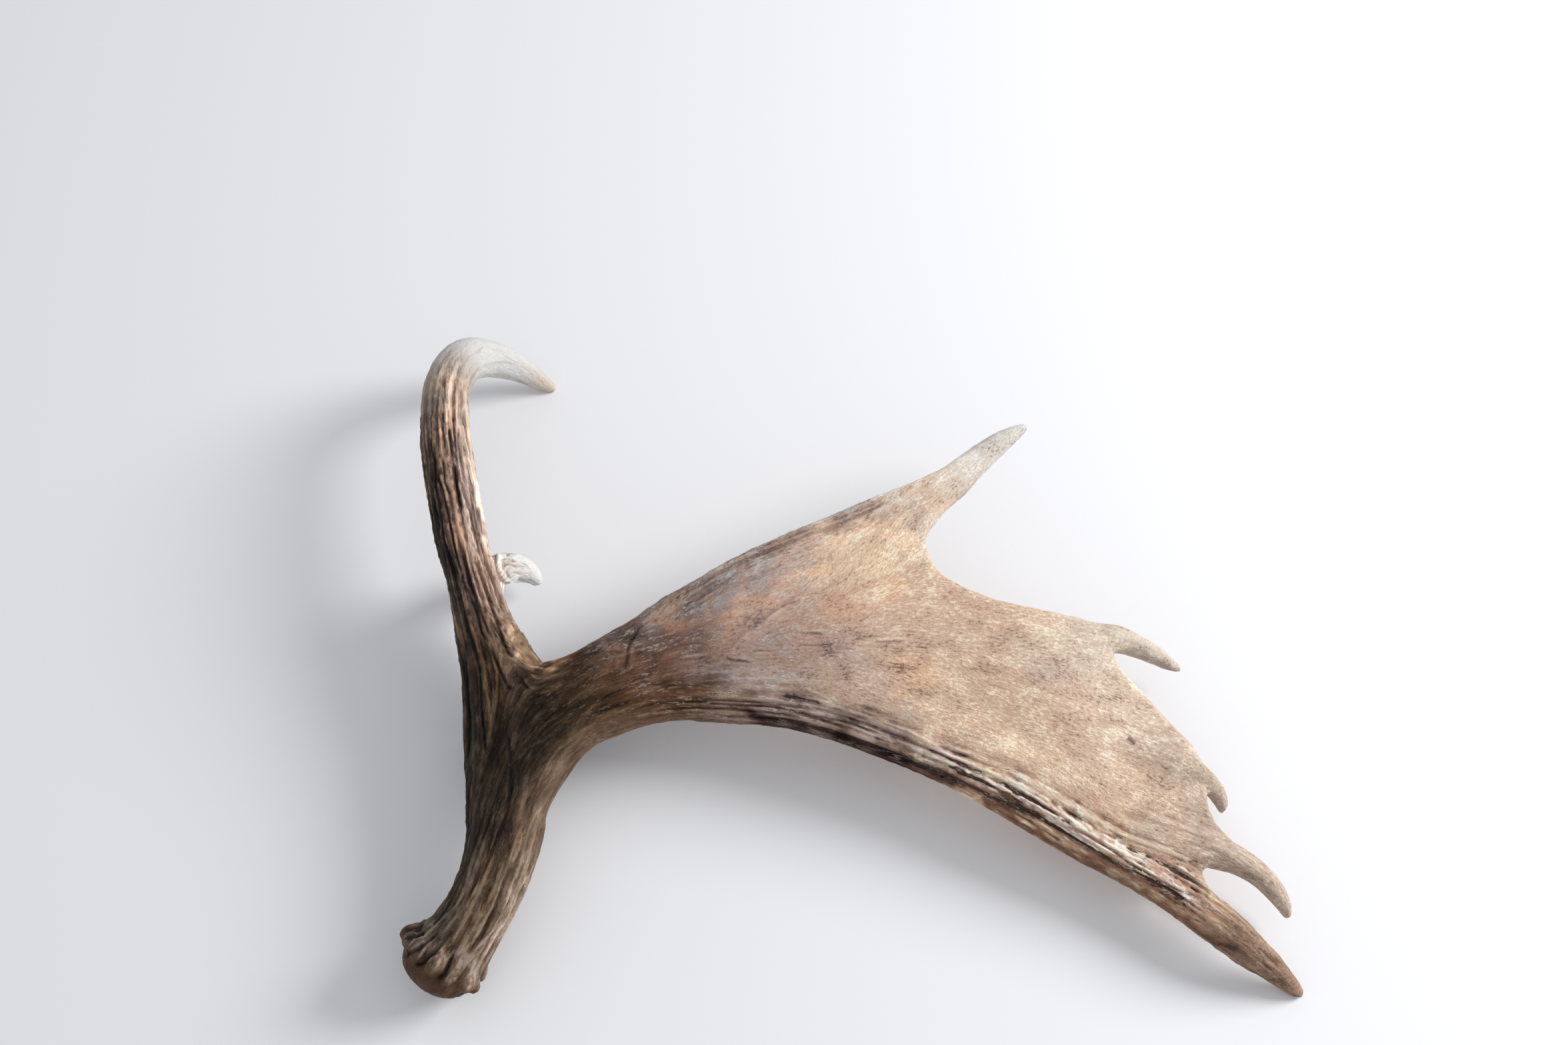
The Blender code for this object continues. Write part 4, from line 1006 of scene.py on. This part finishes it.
def thin(piece, rim):
    # fewer triangles, but the points on the rim stay where they are, to meet the other pieces'
    have = 2 * len(piece.data.polygons)
    if have > parting["mostTriangles"]:
        loose = piece.vertex_groups.new(name="loose")
        loose.add(np.flatnonzero(~rim).tolist(), 1.0, "REPLACE")
        fewer = piece.modifiers.new("fewer", "DECIMATE")
        fewer.ratio = parting["mostTriangles"] / have
        fewer.vertex_group = "loose"
        fewer.use_collapse_triangulate = True
        graph = bpy.context.evaluated_depsgraph_get()
        mesh = bpy.data.meshes.new_from_object(piece.evaluated_get(graph))
        piece.modifiers.clear()
        piece.vertex_groups.clear()
        piece.data = mesh
    piece.data.calc_loop_triangles()
    say(piece.name, have, "triangles, kept", len(piece.data.loop_triangles))


def closeOff(piece):
    # a cap where the piece meets its neighbours, and the whole skin's normals over the join
    mesh = piece.data
    normals = np.empty(3 * len(mesh.vertices), np.float32)
    mesh.attributes["smoothed"].data.foreach_get("vector", normals)
    bm = bmesh.new()
    bm.from_mesh(mesh)
    rims = [edge for edge in bm.edges if edge.is_boundary]
    capped = bmesh.ops.holes_fill(bm, edges=rims)["faces"]
    for face in bm.faces:
        face.smooth = True
    for face in bmesh.ops.triangulate(bm, faces=capped)["faces"]:
        face.smooth = False
    bm.to_mesh(mesh)
    bm.free()
    mesh.validate()        # thinning can leave doubled faces
    mesh.normals_split_custom_set_from_vertices(unit(normals.reshape(-1, 3)).tolist())
    for key in ("smoothed", "relief", "swells"):
        mesh.attributes.remove(mesh.attributes[key])


def partSkin(spots, quads, looks):
    # every face goes to one piece, and the pieces keep the same points where they meet
    middles = asSeen(spots)[quads].mean(axis=1)
    for name, (first, second, node, slot) in parting["pieces"].items():
        inside = leftOf(middles, first) & ~leftOf(middles, second)
        used, mine = np.unique(quads[inside], return_inverse=True)
        rim = np.isin(used, quads[~inside])
        piece = newPiece(name, spots[used], mine.reshape(-1, 4),
                         {key: values[used] for key, values in looks.items()})
        thin(piece, rim)
        closeOff(piece)
        piece.data.materials.append(boneMaterial(name + "Bone"))
        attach(piece, "root")
        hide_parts(node)


# The bone's material.

def connect(tree, value, socket):
    if isinstance(value, bpy.types.NodeSocket):
        tree.links.new(value, socket)
    else:
        socket.default_value = value


def attribute(tree, name, output="Fac"):
    node = tree.nodes.new("ShaderNodeAttribute")
    node.attribute_name = name
    return node.outputs[output]


def mixColour(tree, factor, first, second, blend="MIX"):
    node = tree.nodes.new("ShaderNodeMix")
    node.data_type = "RGBA"
    node.blend_type = blend
    for place, value in ((0, factor), (6, first), (7, second)):    # its three sockets for colours
        connect(tree, value, node.inputs[place])
    return node.outputs[2]


def calculate(tree, operation, *values, clamp=False):
    node = tree.nodes.new("ShaderNodeMath")
    node.operation = operation
    node.use_clamp = clamp
    for socket, value in zip(node.inputs, values):
        connect(tree, value, socket)
    return node.outputs[0]


def weigh(tree, *pairs):
    # the sum of values, each times its weight
    total = 0.0
    for value, weight in pairs:
        total = calculate(tree, "MULTIPLY_ADD", value, weight, total)
    return total


def rampUp(tree, value, low, high):
    node = tree.nodes.new("ShaderNodeMapRange")
    node.interpolation_type = "SMOOTHSTEP"
    for key, item in (("Value", value), ("From Min", low), ("From Max", high)):
        connect(tree, item, node.inputs[key])
    return node.outputs["Result"]


noiseSpan = 6.0


def noise(tree, place, scale, detail, roughness):
    # about as often above zero as below it, and mostly between -1 and 1
    node = tree.nodes.new("ShaderNodeTexNoise")
    for key, item in (("Vector", place), ("Scale", scale), ("Detail", detail),
                      ("Roughness", roughness)):
        connect(tree, item, node.inputs[key])
    return calculate(tree, "MULTIPLY_ADD", node.outputs["Fac"], noiseSpan, -noiseSpan / 2)


def vectorMath(tree, operation, first, second):
    node = tree.nodes.new("ShaderNodeVectorMath")
    node.operation = operation
    connect(tree, first, node.inputs[0])
    connect(tree, second, node.inputs[1])
    return node.outputs[0]


def newGroup(name, inputs, outputs):
    group = bpy.data.node_groups.new(name, "ShaderNodeTree")
    for wanted, direction in ((inputs, "INPUT"), (outputs, "OUTPUT")):
        for key, kind in wanted.items():
            group.interface.new_socket(key, in_out=direction, socket_type="NodeSocket" + kind)
    into = group.nodes.new("NodeGroupInput")
    out = group.nodes.new("NodeGroupOutput")
    return group, into.outputs, out.inputs


def placeGroup(tree, group, **values):
    node = tree.nodes.new("ShaderNodeGroup")
    node.node_tree = group
    for key, value in values.items():
        connect(tree, value, node.inputs[key])
    return node.outputs


finish = dict(
    turn=math.radians(18.0),                # between the headings that streaks are drawn in
    turnFrom=0.15, turnTo=0.85,             # where, between two headings, one gives way to the other
    detail=3.5, rough=0.68,                 # of the noise that they are drawn with
    wiggleScale=120.0, wiggle=0.0018,
    streakSize=620.0, streakLength=8.0,
    fleckSize=560.0, fleckLength=2.2,
    wrinkleSize=300.0, wrinkleLength=6.5,
    wrinkleFrom=0.3, wrinkleMiddle=0.6, wrinkleTo=0.9, wrinkleEnd=1.4,
    # the last value on the next line darkens a band beside each pale wrinkle, as its painted shadow
    wrinkleWhite=0.35, wrinkleColour=tone(226, 214, 198), wrinkleShadow=0.6,
    wrinkleLeast=0.5,                       # how much of a wrinkle is left outside the patches
    crestFrom=0.0, crestTo=1.2, sunkFrom=0.3, sunkTo=1.0,
    lightFrom=-0.1, lightTo=1.3, darkFrom=0.1, darkTo=1.5,
    slateFrom=-0.1, slateTo=0.8, slate=(0.39, 0.46, 0.57),
    poreScale=1500.0, poreDetail=3.0, poreRough=0.6,
    roughness=0.5, darkRoughness=0.16, poreRoughness=0.03,
    specular=0.12, bumpStrength=0.8, bumpDistance=0.0007,   # metres
)
# How much each kind of noise counts: in the ridges' height, in the flecks, where another measure
# also scales it, in the patches, and in the fine relief.
mixes = dict(
    height=dict(Ridges=0.5, Cords=0.45, Beads=0.2, Streaks=0.3, Flecks=0.15, Blotches=0.2),
    flecks=dict(Flecks=("Mottled", 0.85), Streaks=("Streaked", 0.6), Blotches=("Mottled", 0.24),
                Clouds=("Mottled", 0.14)),
    patches=dict(Blotches=0.6, Clouds=0.5, Flecks=0.35),
    fine=dict(pores=0.1, Streaks=0.25, Flecks=0.25),
)


def grainGroup():
    # noise drawn out along the bone's grain: it is laid in the two nearest of a few headings, and
    # the two are mixed
    group, given, made = newGroup("alongGrain", dict(Heading="Vector", Size="Float", Length="Float"),
                                  dict(Value="Float"))
    place = group.nodes.new("ShaderNodeTexCoord").outputs["Object"]
    wiggle = group.nodes.new("ShaderNodeTexNoise")
    connect(group, place, wiggle.inputs["Vector"])
    connect(group, finish["wiggleScale"], wiggle.inputs["Scale"])
    strayed = vectorMath(group, "SUBTRACT", wiggle.outputs["Color"], (0.5, 0.5, 0.5))
    strayed = vectorMath(group, "MULTIPLY", strayed, (finish["wiggle"],) * 3)
    place = vectorMath(group, "ADD", place, strayed)
    parts = group.nodes.new("ShaderNodeSeparateXYZ")
    connect(group, given["Heading"], parts.inputs[0])
    angle = calculate(group, "ARCTAN2", parts.outputs["Y"], parts.outputs["X"])
    turns = calculate(group, "DIVIDE", angle, finish["turn"])
    first = calculate(group, "FLOOR", turns)
    share = rampUp(group, calculate(group, "SUBTRACT", turns, first), finish["turnFrom"],
                   finish["turnTo"])
    sizes = group.nodes.new("ShaderNodeCombineXYZ")
    connect(group, calculate(group, "DIVIDE", given["Size"], given["Length"]), sizes.inputs[0])
    connect(group, given["Size"], sizes.inputs[1])
    connect(group, given["Size"], sizes.inputs[2])
    layers = []
    for which in (first, calculate(group, "ADD", first, 1.0)):
        turned = group.nodes.new("ShaderNodeVectorRotate")
        turned.rotation_type = "Z_AXIS"
        connect(group, place, turned.inputs["Vector"])
        connect(group, calculate(group, "MULTIPLY", which, -finish["turn"]), turned.inputs["Angle"])
        layers.append(noise(group, vectorMath(group, "MULTIPLY", turned.outputs[0], sizes.outputs[0]),
                            1.0, finish["detail"], finish["rough"]))
    other = calculate(group, "SUBTRACT", 1.0, share)
    mixed = weigh(group, (layers[0], other), (layers[1], share))
    spread = calculate(group, "SQRT", weigh(group, (share, share), (other, other)))
    connect(group, calculate(group, "DIVIDE", mixed, spread), made["Value"])
    return group


def patternGroup():
    # how light and how dark the bone's pattern is at a point; its darkness holds the painted hollow
    # shade and painted shadows beside the pale wrinkles
    group, given, made = newGroup(
        "bonePattern",
        dict(Ridges="Float", Cords="Float", Beads="Float", Streaks="Float", Flecks="Float",
             Wrinkles="Float", Blotches="Float", Clouds="Float", Stain_shade="Float", Lined="Float",
             Streaked="Float", Mottled="Float", Wrinkled="Float", Slated="Float"),
        dict(Light="Float", Dark="Float", Wrinkle="Float", Slate="Float"))
    high = weigh(group, *((given[key], share) for key, share in mixes["height"].items()))
    crested = rampUp(group, high, finish["crestFrom"], finish["crestTo"])
    crested = calculate(group, "MULTIPLY", crested, given["Lined"])
    low = calculate(group, "MULTIPLY", high, -1.0)
    sunk = rampUp(group, low, finish["sunkFrom"], finish["sunkTo"])
    sunk = calculate(group, "MULTIPLY", sunk, given["Lined"])
    fleck = weigh(group, *((given[key], calculate(group, "MULTIPLY", given[measure], share))
                           for key, (measure, share) in mixes["flecks"].items()))
    light = rampUp(group, fleck, finish["lightFrom"], finish["lightTo"])
    dark = calculate(group, "MULTIPLY", fleck, -1.0)
    dark = rampUp(group, dark, finish["darkFrom"], finish["darkTo"])
    light = calculate(group, "MAXIMUM", light, crested)
    dark = calculate(group, "MAXIMUM", dark, sunk)
    connect(group, calculate(group, "SUBTRACT", light, given["Stain_shade"], clamp=True), made["Light"])
    inner = rampUp(group, given["Wrinkles"], finish["wrinkleFrom"], finish["wrinkleMiddle"])
    outer = rampUp(group, given["Wrinkles"], finish["wrinkleMiddle"], finish["wrinkleTo"])
    line = calculate(group, "SUBTRACT", inner, outer)
    patch = weigh(group, *((given[key], share) for key, share in mixes["patches"].items()))
    patch = rampUp(group, patch, finish["slateFrom"], finish["slateTo"])
    least = finish["wrinkleLeast"]
    kept = calculate(group, "MULTIPLY_ADD", patch, 1 - least, least)
    line = calculate(group, "MULTIPLY", line, kept)
    connect(group, calculate(group, "MULTIPLY", patch, given["Slated"], clamp=True), made["Slate"])
    connect(group, calculate(group, "MULTIPLY", line, given["Wrinkled"], clamp=True), made["Wrinkle"])
    # a band just past each pale wrinkle line, darkened as its painted shadow
    paintedWrinkleShadow = calculate(group, "SUBTRACT", outer,
                      rampUp(group, given["Wrinkles"], finish["wrinkleTo"], finish["wrinkleEnd"]))
    dark = weigh(group, (dark, 1.0), (given["Stain_shade"], 1.0),
                 (calculate(group, "MULTIPLY", paintedWrinkleShadow, given["Wrinkled"]), finish["wrinkleShadow"]))
    connect(group, calculate(group, "MAXIMUM", dark, 0.0, clamp=True), made["Dark"])
    return group


def surfaceGroup():
    # pores and fine scratches too small for the mesh
    group, given, made = newGroup(
        "bonePores",
        dict(Streaks="Float", Flecks="Float", Wrinkles="Float", Wrinkled="Float", Dark="Float"),
        dict(Height="Float", Roughness="Float"))
    place = group.nodes.new("ShaderNodeTexCoord").outputs["Object"]
    pores = noise(group, place, finish["poreScale"], finish["poreDetail"], finish["poreRough"])
    raised = rampUp(group, given["Wrinkles"], finish["wrinkleFrom"], finish["wrinkleTo"])
    fine = mixes["fine"]
    height = weigh(group, (pores, fine["pores"]), (given["Streaks"], fine["Streaks"]),
                   (given["Flecks"], fine["Flecks"]), (raised, given["Wrinkled"]))
    connect(group, height, made["Height"])
    rough = weigh(group, (given["Dark"], finish["darkRoughness"]), (pores, finish["poreRoughness"]),
                  (1.0, finish["roughness"]))
    connect(group, rough, made["Roughness"])
    return group


groups = dict(grain=grainGroup(), pattern=patternGroup(), surface=surfaceGroup())


def boneMaterial(name):
    material = bpy.data.materials.new(name)
    material.use_nodes = True
    tree = material.node_tree
    shader = tree.nodes["Principled BSDF"]
    ground, crest, groove = (attribute(tree, shade, "Color") for shade in shades)
    heading = attribute(tree, "heading", "Vector")
    streaks, flecks, wrinkles = (
        placeGroup(tree, groups["grain"], Heading=heading, Size=finish[kind + "Size"],
                   Length=finish[kind + "Length"])["Value"]
        for kind in ("streak", "fleck", "wrinkle"))
    wrinkled = attribute(tree, "wrinkled")
    pattern = placeGroup(tree, groups["pattern"], Streaks=streaks, Flecks=flecks, Wrinkles=wrinkles,
                         Wrinkled=wrinkled,
                         **{key.capitalize(): attribute(tree, key) for key in
                            ("ridges", "cords", "beads", "blotches", "clouds", "stain_shade", "lined",
                             "streaked", "mottled", "slated")})
    colour = mixColour(tree, pattern["Light"], ground, crest)
    colour = mixColour(tree, pattern["Dark"], colour, groove)
    colour = mixColour(tree, pattern["Slate"], colour, (*finish["slate"], 1.0), "MULTIPLY")
    paler = mixColour(tree, finish["wrinkleWhite"], crest, (*finish["wrinkleColour"], 1.0))
    colour = mixColour(tree, pattern["Wrinkle"], colour, paler)
    surface = placeGroup(tree, groups["surface"], Streaks=streaks, Flecks=flecks, Wrinkles=wrinkles,
                         Wrinkled=wrinkled, Dark=pattern["Dark"])
    shader.inputs["Specular IOR Level"].default_value = finish["specular"]
    bump = tree.nodes.new("ShaderNodeBump")
    bump.inputs["Strength"].default_value = finish["bumpStrength"]
    bump.inputs["Distance"].default_value = finish["bumpDistance"]
    connect(tree, surface["Height"], bump.inputs["Height"])
    connect(tree, colour, shader.inputs["Base Color"])
    connect(tree, surface["Roughness"], shader.inputs["Roughness"])
    connect(tree, bump.outputs["Normal"], shader.inputs["Normal"])
    return material


# Light and floor.

studio = dict(
    floorColour=tone(238, 238, 240), floorRoughness=0.9, floorSize=30.0,
    world=(0.94, 0.96, 1.0), worldStrength=0.6,
    window=dict(place=(2.5, 0.7, 1.5), size=1.4, power=86.0),
    transform="Standard",
)


def addFloor():
    bpy.ops.mesh.primitive_plane_add(size=studio["floorSize"])
    floor = bpy.context.object
    floor.name = "floor"
    material = bpy.data.materials.new("floorPaint")
    material.use_nodes = True
    shader = material.node_tree.nodes["Principled BSDF"]
    shader.inputs["Base Color"].default_value = (*studio["floorColour"], 1.0)
    shader.inputs["Roughness"].default_value = studio["floorRoughness"]
    floor.data.materials.append(material)


def addLight():
    world = bpy.data.worlds.new("studio")
    bpy.context.scene.world = world
    world.use_nodes = True
    background = world.node_tree.nodes["Background"]
    background.inputs["Color"].default_value = (*studio["world"], 1.0)
    background.inputs["Strength"].default_value = studio["worldStrength"]
    window = studio["window"]
    data = bpy.data.lights.new("window", "AREA")
    data.shape = "DISK"
    data.size = window["size"]
    data.energy = window["power"]
    lamp = bpy.data.objects.new("window", data)
    bpy.context.scene.collection.objects.link(lamp)
    lamp.location = window["place"]
    lamp.rotation_euler = (-Vector(window["place"])).to_track_quat("-Z", "Y").to_euler()
    bpy.context.scene.view_settings.view_transform = studio["transform"]


addCamera()
addFloor()
addLight()
say("camera, floor and light placed")
partSkin(*dressSkin(*bareSkin()))
say("pieces dressed")
